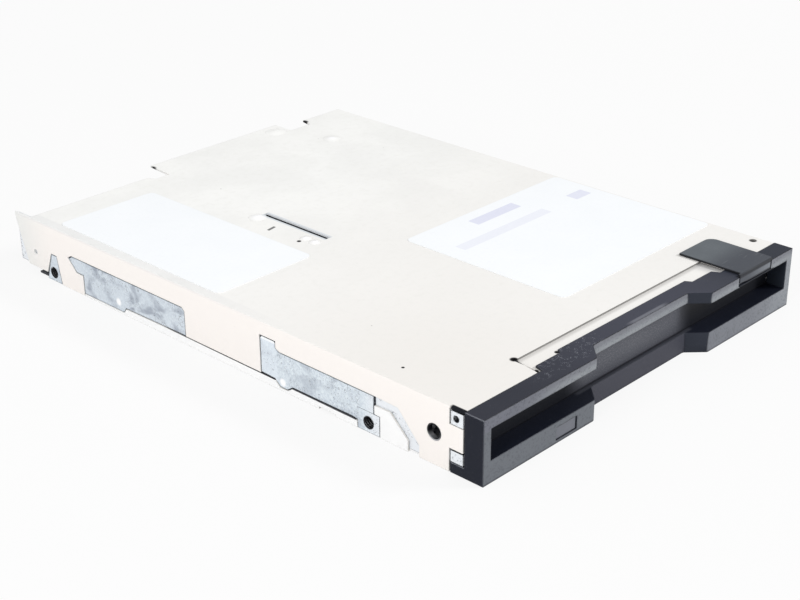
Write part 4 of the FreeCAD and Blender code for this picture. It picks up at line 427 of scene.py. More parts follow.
def make_slider_plastic():
    """Dark grey plastic, matt from handling, with painted light: the top painted pale and palest at the
    rear, the other faces dark; fine scratches across it, a painted dark line where it bends and a painted
    highlight band along its lip, brighter to the right."""
    skin = Finish("slider_moulding", "bezel_plastic", 0.3, shine=0.35)
    grain = skin.noise(0.18, 2, 0.6)
    clouds = skin.noise(3.5, 3, 0.5, 0.3)
    strokes = skin.noise(0.35, 2, 0.6, along=(9, 1, 1)).rise(0.62, 0.72)
    front = skin.facing(0, -1, 0, soft=True).rise(0.5, 0.95)
    top = skin.facing(0, 0, 1, soft=True).rise(0.6, 0.95)
    bend = skin.facing(0, -0.7, 0.7, soft=True).rise(0.86, 0.97)
    # Painted light: the top pale, palest at the rear; the lip's band a painted highlight, brighter to the
    # right.
    pale = skin.blend(clouds, (84, 90, 96), (96, 102, 107))
    pale = skin.blend(skin.y.rise(-56, -63), pale, (66, 70, 78))
    band = skin.blend(skin.x.rise(30, 41), (70, 74, 82), (116, 121, 128))
    skin.base(top, (20, 22, 28), pale)
    skin.over(strokes * top * 0.3, (116, 121, 126))
    skin.over(skin.edge * top * 0.3, (112, 116, 120))
    skin.over(front, skin.blend(skin.z.within(11.5, 12.2, 0.4), (30, 33, 41), band))
    # Painted shade along the bend.
    skin.over(bend * 0.85, (28, 32, 40))
    return skin.close(0.46 + 0.12 * clouds + 0.08 * grain, grain, 0.012, 0.8)


def make_door_plastic():
    """Dark grey flap with a coarse sparked grain that glitters a little, darker toward the bottom, with
    painted shade at its ends and foot, where the slot shades it.
    """
    skin = Finish("sparked_door", "door_plastic", 0.15, shine=0.3)
    grain = skin.noise(0.3, 3, 0.7)
    spots = skin.cells(0.4)
    clouds = skin.noise(6)
    middle = skin.x.within(-14.5, 12, 7)
    skin.base(clouds, (68, 70, 78), (80, 82, 89))
    skin.over(grain.rise(0.45, 0.7) * 0.8, (116, 117, 125))
    skin.over(skin.z.rise(8, 5) * 0.5, (58, 60, 69))
    # Painted shade at the flap's ends and its foot.
    skin.over(1 - middle, (14, 17, 26))
    skin.over(skin.z.rise(4.7, 4.4) * 0.7, (24, 26, 33))
    return skin.close(0.42 + 0.25 * grain, 0.6 * grain + 0.4 * spots, 0.04)


def make_smoked_window():
    """Smoked plastic over the lamp, as grey as the bezel's front, faintly brushed, with a rim of painted
    shade where it sits back in the bezel.
    """
    skin = Finish("smoked_lens", "smoked_window", 0.12, shine=0.4)
    low, high = span("light_window")
    haze = skin.noise(0.8, 3, 0.6)
    depth = skin.noise(2.5, 1)
    inset = (skin.x - low[0]).least(high[0] - skin.x).least(skin.z - low[2]).least(high[2] - skin.z)
    skin.base(depth, (95, 98, 107), (105, 108, 117))
    # Painted shade round the rim.
    skin.over(inset.rise(0.2, 0.1) * 0.9, (30, 32, 38))
    return skin.close(0.26 + 0.14 * haze, haze, 0.004, 0.6)


def make_lamp_plastic():
    """Clear green lens of the activity lamp, darker inside."""
    skin = Finish("lamp_lens", "lamp_plastic", shine=0.6, Transmission_Weight=0.3, IOR=1.5)
    swirl = skin.noise(0.8, 3, 0.6, 0.5)
    skin.base(swirl, (78, 150, 70), (120, 188, 100))
    return skin.close(0.12 + 0.14 * swirl, swirl, 0.006)


def make_label(name, edges, bars=()):
    """White film label with faint fibres and a greyed rim; bars are pale blank fields."""
    skin = Finish(name, "label_film", shine=0.12)
    fibres = skin.noise(0.5, 4, 0.65, 0.4, along=(2, 1, 1))
    clouds = skin.noise(11, 3, 0.5, 0.4)
    ripples = skin.noise(7, 2, 0.5, 0.3)
    left, right, front, rear = edges
    inset = (skin.x - left).least(right - skin.x).least(skin.y - front).least(rear - skin.y)
    skin.base(clouds, (239, 242, 245), (244, 246, 248))
    skin.over(fibres.rise(0.5, 0.8) * 0.25, (228, 230, 236))
    for low_x, high_x, low_y, high_y, strength in bars:
        field = skin.x.within(low_x, high_x, 0.12) * skin.y.within(low_y, high_y, 0.12)
        skin.over(field * strength * (0.85 + 0.3 * fibres), (214, 216, 234))
    skin.over(inset.rise(0.35, 0.05) * 0.12, (214, 212, 206))
    return skin.close(0.3 + 0.2 * fibres + 0.1 * clouds, 0.75 * ripples + 0.25 * fibres, 0.02)


def make_metal(name, slot, dark, light, rough, size=0.7, along=(1, 1, 1), tint=None):
    """Bare metal: clouds from dark to light, a drawn or stamped grain, bright rubbed edges."""
    skin = Finish(name, slot, 0.1, metallic=1)
    clouds = skin.noise(size * 4, 3, 0.55, 0.4)
    grain = skin.noise(size * 0.25, 3, 0.6, along=along)
    stain = skin.noise(size * 2.5, 4, 0.6, 0.8)
    skin.base(clouds, dark, light)
    skin.over(stain.rise(0.56, 0.74) * 0.5, tint or dark)
    skin.over(skin.edge * 0.5, (226, 226, 224))
    return skin.close(rough + 0.12 * clouds + 0.1 * grain, grain, 0.006)


def make_turned_steel():
    """Ground steel with rings left by the tool, and a trace of oil."""
    skin = Finish("ground_steel", "turned_steel", 0.08, metallic=1)
    rings = (skin.y * 38 + 2 * skin.noise(1.5)).sine()
    oil = skin.noise(2.5, 3, 0.5, 0.6)
    skin.base(oil, (170, 172, 176), (214, 214, 214))
    skin.over(rings.rise(0.3, 1) * 0.25, (140, 142, 148))
    return skin.close(0.16 + 0.2 * oil + 0.05 * rings, rings, 0.002)


def make_rotor_steel():
    """Pressed rotor cup: circular drawing marks round the spindle, yellowish chromate clouds."""
    skin = Finish("drawn_rotor_steel", "zinc_steel", 0.12, metallic=1)
    radius = skin.reach(0, SPINDLE_Y)
    rings = (radius * 21 + 3 * skin.noise(4)).sine()
    clouds = skin.noise(6, 4, 0.6, 0.5)
    skin.base(clouds, (168, 168, 166), (210, 207, 196))
    skin.over(rings.rise(-0.2, 1) * 0.3, (140, 142, 146))
    skin.over(radius.within(9, 9.9, 0.4) * 0.2, (120, 122, 126))
    skin.over(skin.edge * 0.5, (228, 228, 226))
    return skin.close(0.24 + 0.18 * clouds + 0.05 * rings, rings, 0.004)


def make_ferrite():
    """Dark grey pressed ferrite: fine pores, chipped pale corners."""
    skin = Finish("pressed_ferrite", "magnet", 0.12, metallic=0.1)
    pores = skin.noise(0.25, 3, 0.7)
    clouds = skin.noise(3, 3)
    skin.base(clouds, (46, 46, 50), (64, 64, 68))
    skin.over(skin.edge * pores.rise(0.45, 0.6), (112, 112, 116))
    return skin.close(0.5 + 0.25 * pores, pores, 0.012)


def make_bronze():
    """Sintered bronze soaked with oil: open pores and dark wet clouds."""
    skin = Finish("oiled_sintered_bronze", "sintered_bronze", 0.12, metallic=0.9)
    pores = skin.cells(0.3)
    oil = skin.noise(2.2, 3, 0.6, 0.5)
    skin.base(oil, (128, 92, 56), (184, 142, 92))
    skin.over(pores.rise(0.3, 0.1) * 0.7, (70, 50, 34))
    return skin.close(0.3 + 0.3 * oil, pores, 0.02)


def make_lamination():
    """Stacked silicon steel under brown lacquer: thin dark joints between the sheets."""
    skin = Finish("lacquered_lamination", "lamination", 0.08, metallic=0.5)
    sheets = (skin.z * (TURN / 0.2)).sine()
    clouds = skin.noise(2, 3, 0.6)
    skin.base(clouds, (92, 88, 90), (126, 120, 118))
    skin.over(sheets.rise(0.6, 0.95) * 0.7, (44, 42, 46))
    return skin.close(0.36 + 0.2 * clouds, sheets, 0.01)


def make_copper():
    """Enamelled copper wire: amber to red-brown, glossy, with painted shade in the gaps between turns."""
    skin = Finish("enamelled_copper", "copper_winding", metallic=0.85, Coat_Weight=0.3, Coat_Roughness=0.15)
    radius = skin.reach(0, SPINDLE_Y)
    turns = (radius * (TURN / 0.25)).sine()
    clouds = skin.noise(1.6, 3, 0.6)
    skin.base(clouds, (158, 78, 38), (204, 116, 60))
    # Painted shade between the turns.
    skin.over(turns.rise(0.2, -0.9) * 0.6, (84, 36, 20))
    return skin.close(0.24 + 0.16 * clouds, turns, 0.02)


def make_circuit_board():
    """Green lacquered board: tracks that run along and across, plated vias with their holes in painted
    shade, bare copper rim.
    """
    skin = Finish("lacquered_board", "circuit_board", 0.06, shine=0.55)
    area = skin.cells(9, "F1", "Color", loose=0.9)
    jog = skin.cells(6, "F1", "Color", loose=0.6)
    along = abs((skin.y + jog * 3).wrapped(1) - 0.5).rise(0.36, 0.3)
    across = abs((skin.x + area * 2).wrapped(1) - 0.5).rise(0.36, 0.3)
    pick = area.rise(0.48, 0.52)
    tracks = (along * pick + across * (1 - pick)) * skin.noise(5, 1).rise(0.38, 0.44)
    dots = skin.cells(3.2, "F1", loose=0.8)
    plated = dots.rise(0.13, 0.11)
    bore = dots.rise(0.06, 0.05)
    weave = (skin.x * 12).sine() * (skin.y * 12).sine()
    clouds = skin.noise(8, 3)
    skin.base(clouds, (20, 74, 44), (28, 92, 54))
    skin.over(tracks * 0.8, (52, 124, 70))
    skin.over(plated, (196, 190, 168))
    # Painted shade in the via holes.
    skin.over(bore, (24, 26, 24))
    height = 0.6 * tracks + 0.3 * plated + 0.1 * weave
    return skin.close(0.3 + 0.15 * clouds + 0.1 * tracks, height, 0.03, metallic=plated * 0.9)


def make_epoxy():
    """Black moulded epoxy of the chips: matt, finely pitted, with a faint grey bloom."""
    skin = Finish("moulded_epoxy", "black_epoxy", 0.12, shine=0.4)
    pits = skin.noise(0.16, 3, 0.7)
    bloom = skin.noise(3, 3, 0.6)
    skin.base(bloom, (34, 34, 36), (54, 54, 56))
    return skin.close(0.52 + 0.2 * pits, pits, 0.01)


def make_resin(name, slot, dark, light, rough=0.42, grain_size=0.2):
    """Moulded plastic of the mechanism: flow clouds, fine texture, lighter edges."""
    skin = Finish(name, slot, 0.12, shine=0.45)
    flow = skin.noise(4, 3, 0.5, 0.8, along=(1, 2, 1))
    grain = skin.noise(grain_size, 2, 0.6)
    skin.base(flow, dark, light)
    skin.over(grain.rise(0.55, 0.8) * 0.3, light)
    skin.over(skin.edge * 0.3, tuple(min(255, int(255 * part**0.42) + 24) for part in tone(*light)[:3]))
    return skin.close(rough + 0.14 * flow + 0.08 * grain, grain, 0.01)


def make_gold():
    """Thin gold on the contacts, with reddish worn streaks and tin at the tails."""
    skin = Finish("gold_plate", "gold_contact", metallic=1)
    clouds = skin.noise(0.5, 3, 0.6)
    streaks = skin.noise(0.2, 2, 0.6, along=(1, 5, 1))
    skin.base(clouds, (206, 160, 74), (236, 200, 118))
    skin.over(streaks.rise(0.6, 0.75) * 0.5, (170, 116, 62))
    return skin.close(0.22 + 0.16 * clouds, streaks, 0.004)


def make_head_ceramic():
    """Lapped ceramic head: smooth dark slider with a pale glass line across the gap."""
    skin = Finish("lapped_ceramic", "ceramic_head", 0.08, shine=0.6)
    lapping = skin.noise(0.12, 2, 0.6, along=(1, 8, 1))
    gap = abs(skin.x).rise(0.16, 0.1)
    clouds = skin.noise(1)
    skin.base(clouds, (150, 146, 138), (186, 182, 172))
    skin.over(gap, (64, 58, 54))
    return skin.close(0.14 + 0.14 * lapping, lapping, 0.002)


def make_polyimide():
    """Amber film with copper tracks running along it under the film."""
    skin = Finish("amber_film", "polyimide_film", shine=0.6)
    tracks = abs((skin.x * 1.6).wrapped(1) - 0.5).rise(0.3, 0.24)
    clouds = skin.noise(2.5, 3, 0.5, 0.4)
    skin.base(clouds, (170, 96, 30), (198, 124, 44))
    skin.over(tracks * 0.65, (140, 66, 26))
    return skin.close(0.22 + 0.16 * clouds, tracks, 0.015)


def make_capacitor_ceramic():
    """Tan ceramic of the chip capacitors, with darker specks."""
    skin = Finish("tan_ceramic", "black_epoxy", shine=0.5)
    specks = skin.noise(0.14, 3, 0.7)
    clouds = skin.noise(1.2)
    skin.base(clouds, (150, 116, 84), (176, 144, 108))
    skin.over(specks.rise(0.6, 0.7) * 0.5, (96, 70, 50))
    return skin.close(0.36 + 0.2 * specks, specks, 0.006)


finishes = {}


def finish(key, made, solids=""):
    """Keeps a finish under a short name, and gives it to the solids that are seen in it."""
    finishes[key] = made
    for name in solids.split():
        nodes[name].data.materials.clear()
        nodes[name].data.materials.append(made.material)


# Round marks on the cover, with the middle and the reach of each: painted shade in holes, gaps and notch
# corners, with two small dark marks, then painted highlights on the pressed bumps.
HOLE_SHADE_AND_MARKS = (
    (-17.6, 9.3, 0.6), (-43.4, -44.5, 0.4), (-28, -56.7, 1), (45.9, -59, 1),
    (-28.2, -61.8, 0.7), (-20.1, -60, 0.6), (-11.6, 65.7, 1.6), (34.8, 63.6, 1.6),
)
BUMP_HIGHLIGHTS = ((-14.8, 25.1, 2.2), (-15.6, 9.3, 1.5), (-15.8, 6.5, 1.4), (31, 49.4, 1.7))
# Blank bars on the rating label: left, right, front and rear edge, and strength.
BARS = ((14, 28, -12.2, -9.4, 0.8), (39.5, 44.5, -18.6, -15.6, 0.7), (2, 30, -19, -16.4, 0.35))

# The second value of each paint is its side walls' tone, painted light.
finish("cover", make_cover_paint("cover_sheet_paint", (241, 236, 232), HOLE_SHADE_AND_MARKS, BUMP_HIGHLIGHTS), "top_cover")
finish("base", make_cover_paint("base_sheet_paint", (243, 243, 243)), "base_cover")
finish("zinc", make_zinc_sheet(), "frame")
finish("bezel", make_bezel_plastic(), "bezel")
finish("slider", make_slider_plastic(), "eject_slider")
finish("door", make_door_plastic(), "shutter_door")
finish("window", make_smoked_window(), "light_window")
finish("lamp", make_lamp_plastic(), "indicator_light")
finish("notice", make_label("notice_film", NOTICE_LABEL), "notice_label")
finish("rating", make_label("rating_film", RATING_LABEL, BARS), "rating_label")
finish(
    "bracket",
    make_metal(
        "zinc_plated_steel", "zinc_steel", (160, 162, 166), (204, 205, 206), 0.26, 1, tint=(150, 150, 140)
    ),
    "stepper_bracket rod_clamp_front rod_clamp_rear upper_arm trigger_lever board_screws deck_screws "
    "stepper_motor disk_hub",
)
finish(
    "slide",
    make_metal(
        "rolled_slide_steel", "galvanised_steel", (168, 174, 180), (206, 210, 214), 0.28, 1.4, (1, 6, 1)
    ),
    "slide_plate disk_holder",
)
finish(
    "spring",
    make_metal("spring_wire", "spring_steel", (120, 122, 128), (184, 186, 190), 0.2, 0.4),
    "slide_spring_left slide_spring_right door_spring lever_spring arm_spring",
)
finish(
    "turned",
    make_turned_steel(),
    "holder_studs lever_pin lever_rivet spindle_shaft drive_pin lead_screw guide_rod arm_pin",
)
finish("rotor", make_rotor_steel(), "spindle_rotor")
finish("ferrite", make_ferrite(), "rotor_magnet chuck_magnet")
finish("bronze", make_bronze(), "spindle_bearing")
finish("lamination", make_lamination(), "stator_core")
finish("copper", make_copper(), "stator_coils")
finish("board", make_circuit_board(), "motor_board main_board")
finish("epoxy", make_epoxy(), "controller_chip driver_chip track_sensor")
finish(
    "connector",
    make_resin("ivory_socket", "connector_plastic", (206, 198, 176), (226, 220, 202)),
    "cable_connector",
)
finish("lock", make_resin("brown_lock", "lock_plastic", (64, 46, 36), (88, 64, 48)), "connector_lock")
finish(
    "carriage",
    make_resin("glass_filled_black", "carriage_plastic", (40, 40, 44), (62, 62, 66), 0.48, 0.3),
    "head_carriage switch_bodies",
)
finish(
    "white",
    make_resin("milky_acetal", "white_plastic", (222, 220, 212), (238, 237, 232), 0.34),
    "screw_follower density_plunger protect_plunger disk_plunger",
)
finish("gold", make_gold(), "connector_contacts")
finish("ceramic", make_head_ceramic(), "lower_head upper_head")
finish("film", make_polyimide(), "head_flex")
finish("tin", make_metal("dull_tin", "zinc_steel", (176, 178, 180), (212, 212, 210), 0.3, 0.3))
finish("capacitor", make_capacitor_ceramic(), "capacitors")


# Pieces worked out as surfaces


def add_object(name, data):
    """Puts an object in the scene."""
    made = bpy.data.objects.new(name, data)
    bpy.context.scene.collection.objects.link(made)
    return made


def place(name, body, key, mesh, *stands_for):
    """Makes a finished mesh a piece of a body, with its finish and the solids that it stands for."""
    mesh.name = name
    piece = add_object(name, mesh)
    mesh.materials.append(finishes[key].material)
    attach(piece, body)
    if stands_for:
        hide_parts(*stands_for)
    return piece


def sheath(*grids, filled=True):
    """Mesh of one or more grids of points, each row a closed ring, with the first and last rings filled or
    not. A grid has the shape (rings, points round a ring, 3)."""
    corners, faces, start = [], [], 0
    for grid in grids:
        rings, around = grid.shape[:2]
        corners.append(grid.reshape(-1, 3))
        ring = np.arange(around)
        first = start + np.arange(rings - 1)[:, None] * around
        after = first + (ring + 1) % around
        quads = np.stack([first + ring, after, after + around, first + ring + around], axis=-1)
        faces += quads.reshape(-1, 4).tolist()
        if filled:
            faces += [(start + ring[::-1]).tolist(), (start + (rings - 1) * around + ring).tolist()]
        start += rings * around
    mesh = bpy.data.meshes.new("sheath")
    mesh.from_pydata(np.concatenate(corners).tolist(), [], faces)
    work = bmesh.new()
    work.from_mesh(mesh)
    bmesh.ops.remove_doubles(work, verts=work.verts, dist=1e-7)
    bmesh.ops.recalc_face_normals(work, faces=work.faces)
    work.to_mesh(mesh)
    work.free()
    mesh.shade_smooth()
    mesh.set_sharp_from_angle(angle=math.radians(35))
    return mesh


def carried(path, radius, around=8):
    """A round wire along a path: ring k lies across the path's direction there, at a distance of
    radius * (cos a, sin a) along two directions square to it; the end rings shrink to close the wire."""
    ahead = np.gradient(path, axis=0)
    ahead /= np.linalg.norm(ahead, axis=1, keepdims=True)
    guide = np.array([0.0, 0.0, 1.0]) if abs(ahead[:, 2]).max() < 0.95 else np.array([0.0, 1.0, 0.0])
    beside = np.cross(ahead, guide)
    beside /= np.linalg.norm(beside, axis=1, keepdims=True)
    over = np.cross(beside, ahead)
    angle = angles(around)[:, None]
    ring = beside[:, None] * np.cos(angle) + over[:, None] * np.sin(angle)
    thick = np.full(len(path), radius)
    thick[[0, -1]] *= 0.3
    return path[:, None] + ring * thick[:, None, None]


def helix(start, axis, length, radius, wire, turns, steps=14, close=1.5):
    """Centre line of a coil spring: the point turns round the axis at a radius while it climbs from one
    end to the other, slowly over the first and last close turns and evenly between them."""
    share = np.linspace(0.0, 1.0, int(turns * steps))
    turn = share * turns
    pitch = (length - 2 * close * 2 * wire) / (turns - 2 * close)
    climb = np.select(
        [turn < close, turn > turns - close],
        [turn * 2 * wire, length - (turns - turn) * 2 * wire],
        close * 2 * wire + (turn - close) * pitch,
    )
    first = np.cross(axis, [0.0, 0.0, 1.0] if abs(axis[2]) < 0.9 else [1.0, 0.0, 0.0])
    second = np.cross(axis, first)
    angle = turn[:, None] * TURN
    return start + axis * climb[:, None] + radius * (first * np.cos(angle) + second * np.sin(angle))


def spun(profile, centre, axis, around, bend=None):
    """A profile of (radius, height) pairs carried round an axis: (r cos a, r sin a, h) for each angle a.
    bend(radius, height, angle) may give a new radius for each point."""
    profile = np.asarray(profile, float)
    angle = angles(around)
    radius = np.broadcast_to(profile[:, :1], (len(profile), around)).copy()
    height = np.broadcast_to(profile[:, 1:], radius.shape).copy()
    if bend is not None:
        radius = bend(radius, height, np.broadcast_to(angle, radius.shape))
    across, up = radius * np.cos(angle), radius * np.sin(angle)
    order = {"y": (across, height, -up), "x": (height, across, up)}[axis]
    return (np.stack(order, axis=-1) + centre) * MM


def turned_round(x, y, z, turn, middle):
    """Points turned about the vertical axis by an angle, moved to a middle, and put in metres."""
    x, y = x * math.cos(turn) - y * math.sin(turn), x * math.sin(turn) + y * math.cos(turn)
    return np.stack([x + middle[0], y + middle[1], z], axis=-1) * MM


def soft_copy(node):
    """A mesh like a solid's with its triangles merged into flat faces, ready for rounded edges."""
    work = bmesh.new()
    work.from_mesh(nodes[node].data)
    bmesh.ops.remove_doubles(work, verts=work.verts, dist=2e-7)
    bmesh.ops.dissolve_limit(work, angle_limit=math.radians(1.0), verts=work.verts, edges=work.edges)
    mesh = bpy.data.meshes.new(node)
    work.to_mesh(mesh)
    work.free()
    return mesh


def soften(piece, radius):
    """Rounds a piece's sharp edges over a radius in millimetres."""
    rounding = piece.modifiers.new("rounded_edges", "BEVEL")
    rounding.width = radius * MM
    rounding.segments = 2
    rounding.limit_method = "ANGLE"
    rounding.angle_limit = math.radians(30)
    rounding.harden_normals = True


def make_moulded_front():
    """Bezel, slider and door with the small radii of moulded edges, and the slide's sheet. The door laps
    behind the bezel by 0.35 mm at its foot, where corners below 4.4 mm move to 4 mm, and by 0.2 mm at its
    ends, where corners between 45.6 and 45.8 mm from the middle move to 46.3 mm. The sheet's top, where
    corners above 11.88 mm move to 11.84 mm, clears the cover's step as it slides."""
    for name, node, body, key, radius in (
        ("bezel_moulding", "bezel", "chassis", "bezel", 0.24),
        ("slider_moulding", "eject_slider", "slide", "slider", 0.2),
        ("door_flap", "shutter_door", "door", "door", 0.12),
        ("slide_sheet", "slide_plate", "slide", "slide", 0.04),
    ):
        mesh = soft_copy(node)
        corners = np.empty(3 * len(mesh.vertices))
        mesh.vertices.foreach_get("co", corners)
        across, heights = corners[0::3], corners[2::3]
        if name == "door_flap":
            ends = abs(abs(across) - 45.7 * MM) < 0.1 * MM
            across[ends] = 46.3 * MM * np.sign(across[ends])
            heights[heights < 4.4 * MM] = 4.0 * MM
        if name == "slide_sheet":
            heights[heights > 11.88 * MM] = 11.84 * MM
        mesh.vertices.foreach_set("co", corners)
        mesh.update()
        soften(place(name, body, key, mesh, node), radius)


def coil(name, node, body, axis, inset, radius, wire, turns):
    """A coil spring of round wire along a solid's box, in place of the plain sleeve of the solid."""
    low, high = span(node)
    start = (low + high) / 2
    start[axis] = low[axis] + inset
    path = helix(start, np.eye(3)[axis], high[axis] - low[axis] - 2 * inset, radius, wire, turns)
    return place(name, body, "spring", sheath(carried(path, wire) * MM), node)


def make_springs():
    """The slide's two springs, which shorten with it from 16.2 to 11.7 mm, are drawn as plain coils, each
    with a mesh of its own; the lever's three turns lie flat round its rivet."""
    for side in ("left", "right"):
        node = f"slide_spring_{side}"
        piece = coil(f"slide_coil_{side}", node, "chassis", 1, 0.15, 1.05, 0.15, 24)
        low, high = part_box(node)
        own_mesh(piece)
    coil("door_coil", "door_spring", "chassis", 0, 0.12, 0.75, 0.11, 12)
    coil("arm_coil", "arm_spring", "carriage", 0, 0.1, 0.88, 0.1, 4.5)
    low, high = span("lever_spring")
    middle = (low + high) / 2
    path = helix((middle[0], middle[1], low[2] + 0.1), np.eye(3)[2], 0.2, 2.3, 0.05, 3.0, 32, 0.5)
    place("lever_coil", "holder", "spring", sheath(carried(path, 0.1) * MM), "lever_spring")


def make_lead_screw():
    """Thread of three starts between plain ends: radius = root + (crest - root) * a wave of
    starts * (angle - length / lead), clipped flat at root and crest."""
    starts, lead, root, crest, plain = 3, 3.75, 0.72, 0.9, 0.6
    low, high = span("lead_screw")
    centre, front, rear = (low + high) / 2 * (1, 0, 1), low[1], high[1]
    start, end = front + 1.5, rear - 11.7
    profile = [(0.02, front), (0.5, front), (plain, front + 0.1)]
    profile += [(plain, start - 0.02), (root, start - 0.01)]
    profile += [(crest, length) for length in np.linspace(start, end, 150)]
    profile += [(root, end + 0.01), (plain, end + 0.02), (plain, rear - 0.1), (0.5, rear), (0.02, rear)]

    def thread(radius, height, angle):
        wave = np.cos(starts * (angle - height * TURN / lead))
        cut = root + (crest - root) * np.clip(0.5 + 1.1 * wave, 0, 1)
        return np.where(radius == crest, cut, radius)

    place("threaded_screw", "screw", "turned", sheath(spun(profile, centre, "y", 36, thread)), "lead_screw")


def make_stepper_can():
    """Drawn can in two halves: a rolled seam in the middle, a crimped rim at each end."""
    low, high = span("stepper_motor")
    centre = (low + high) / 2 * (1, 0, 1)
    front = [(0.02, 0.3), (0.66, 0.3), (0.66, 0), (1.3, 0), (1.35, 0.12), (2.55, 0.12), (2.6, 0), (2.9, 0),
             (3, 0.15), (3, 0.6), (2.93, 0.7)]
    seam = [(2.93, -0.45), (3, -0.35), (3, -0.08), (2.88, -0.03), (2.88, 0.03), (3, 0.08), (3, 0.35),
            (2.93, 0.45)]
    rear = [(2.93, -0.7), (3, -0.6), (3, -0.15), (2.9, 0), (1.6, 0), (1.5, -0.2), (0.02, -0.2)]
    levels = (low[1], (low[1] + high[1]) / 2, high[1])
    profile = np.concatenate([np.add(part, (0, level)) for part, level in zip((front, seam, rear), levels)])
    place("stepper_can", "chassis", "bracket", sheath(spun(profile, centre, "y", 56)), "stepper_motor")


def screw_head(centre, top, seat, tip):
    """Pan head with a crossed recess. Its rings go from the recess's floor out over the head and down
    the shank; the recess's rim lies at min(arm / |cos a|, slot / |sin a|), the outline of a cross."""
    radius, shank, arm, slot = 1.5, 0.8, 0.78, 0.17
    angle = angles(48)
    wide = np.maximum(abs(np.cos(angle)), abs(np.sin(angle)))
    narrow = np.minimum(abs(np.cos(angle)), abs(np.sin(angle)))
    cross = np.minimum(arm / wide, slot / np.maximum(narrow, 1e-6))
    way = 1.0 if top > seat else -1.0
    rise = top - seat
    rings = [
        (0.02, top - way * 0.26), (cross * 0.6, top - way * 0.24), (cross * 0.94, top - way * 0.03),
        (cross, top), (radius * 0.72, top - way * 0.02), (radius * 0.9, top - 0.25 * rise),
        (radius, top - 0.6 * rise), (radius, seat), (shank, seat), (shank, tip), (0.02, tip),
    ]
    points = [
        np.column_stack([r * np.cos(angle) + centre[0], r * np.sin(angle) + centre[1], np.full(48, z)])
        for r, z in rings
    ]
    return np.stack(points) * MM


def make_screws():
    """Screws with crossed recesses, at the places of the solids' screws: four hold the deck from above,
    four the board from below. The heights are those of the top, the seat and the tip."""
    front = span("board_screws")[0][1] + 1.5
    for name, node, spots, heights in (
        ("deck_screw_heads", "deck_screws", [(-18.5, 15.5), (-18.5, 49.5), (20.5, 22.0), (20.5, 34.0)],
         (4.35, 3.9, 2.85)),
        ("board_screw_heads", "board_screws", [(-40.0, front), (40.0, front), (40.0, 51.0), (-24.0, 45.0)],
         (0.45, 0.8, 3.4)),
    ):
        heads = [screw_head(spot, *heights) for spot in spots]
        place(name, "chassis", "bracket", sheath(*heads), node)


def make_windings():
    """Twelve coils of wire. Across each runs a closed band round the tooth, a rounded rectangle; its
    outer radius swells as |sin| of the distance along the tooth, one swell for each turn of wire."""
    low, high = span("stator_coils")
    core_low, core_high = span("stator_core")
    middle = (core_low[2] + core_high[2]) / 2
    tall, room_up = (high[2] - low[2]) / 2, (core_high[2] - core_low[2]) / 2 + 0.01
    wide, room_side = 2.2, 1.06
    start, end, wire, teeth = 9.9, 16.45, 0.25, 12
    around = angles(40)
    square = (abs(np.cos(around)) ** 6 + abs(np.sin(around)) ** 6) ** (-1 / 6)
    out_side, out_up = square * np.cos(around), square * np.sin(around)
    along = np.linspace(start, end, 105)
    swell = 1 - 0.07 * (1 - abs(np.sin((along - start) / wire * math.pi)))
    ends = np.clip(np.minimum(along - start, end - along) / 0.3, 0, 1) ** 0.5
    share = swell * (0.9 + 0.1 * ends)
    side = out_side[None] * (wide * share)[:, None]
    up = out_up[None] * (tall * (0.7 + 0.3 * share))[:, None]
    outer = np.stack([np.broadcast_to(along[:, None], side.shape), side, up], axis=-1)
    inner_ring = np.stack([np.zeros(40), out_side * room_side, out_up * room_up], axis=-1)
    inner = inner_ring[None] + np.array([[[end, 0, 0]], [[start, 0, 0]]])
    x, y, z = np.moveaxis(np.concatenate([inner[1:], outer, inner[:1], inner[1:]]), -1, 0)
    coils = [turned_round(x, y, z + middle, turn, (0.0, SPINDLE_Y)) for turn in angles(teeth)]
    place("wound_coils", "chassis", "copper", sheath(*coils, filled=False), "stator_coils")


def make_lug_threads():
    """Thread in each fixing hole: radius = 1.26 - 0.16 * triangle wave of (angle + length / pitch),
    inside a buried outer skin, both carried round the hole's axis."""
    deep, mouth, pitch = 45.5, 47.93, 0.5
    inner = np.column_stack([np.full(42, 1.2), np.linspace(deep, mouth, 42)])
    profile = np.concatenate([inner, [[1.3, mouth], [1.3, deep], [1.2, deep]]])

    def thread(radius, height, angle):
        wave = abs(((angle / TURN + height / pitch) % 1.0) * 2 - 1)
        return np.where(radius < 1.25, 1.26 - 0.16 * wave, radius)

    grids = []
    for side in (-1, 1):
        for middle in LUGS_Y:
            grid = spun(profile, (0, 0, 0), "x", 40, thread) / MM
            grid[-1] = grid[0]
            grid[..., 0] *= side
            grids.append((grid + [0, middle, LUGS_Z]) * MM)
    place("lug_threads", "chassis", "zinc", sheath(*grids, filled=False))


def dome(centre, reach, height, normal, around=28, rings=7):
    """A pressed dimple: height * (1 - share^2)^2 over an oval, closed below by a flat skin."""
    share = np.linspace(0.001, 1.0, rings)
    angle = angles(around)
    out = np.concatenate([share, [1.0, 0.001]])
    up = np.concatenate([height * (1 - share**2) ** 2, [-0.05, -0.05]])
    across = out[:, None] * reach[0] * np.cos(angle)
    along = out[:, None] * reach[1] * np.sin(angle)
    level = np.broadcast_to(up[:, None], across.shape)
    order = {"z": (across, along, level), "x": (level, across, along), "-x": (-level, across, along)}
    return (np.stack(order[normal], axis=-1) + centre) * MM


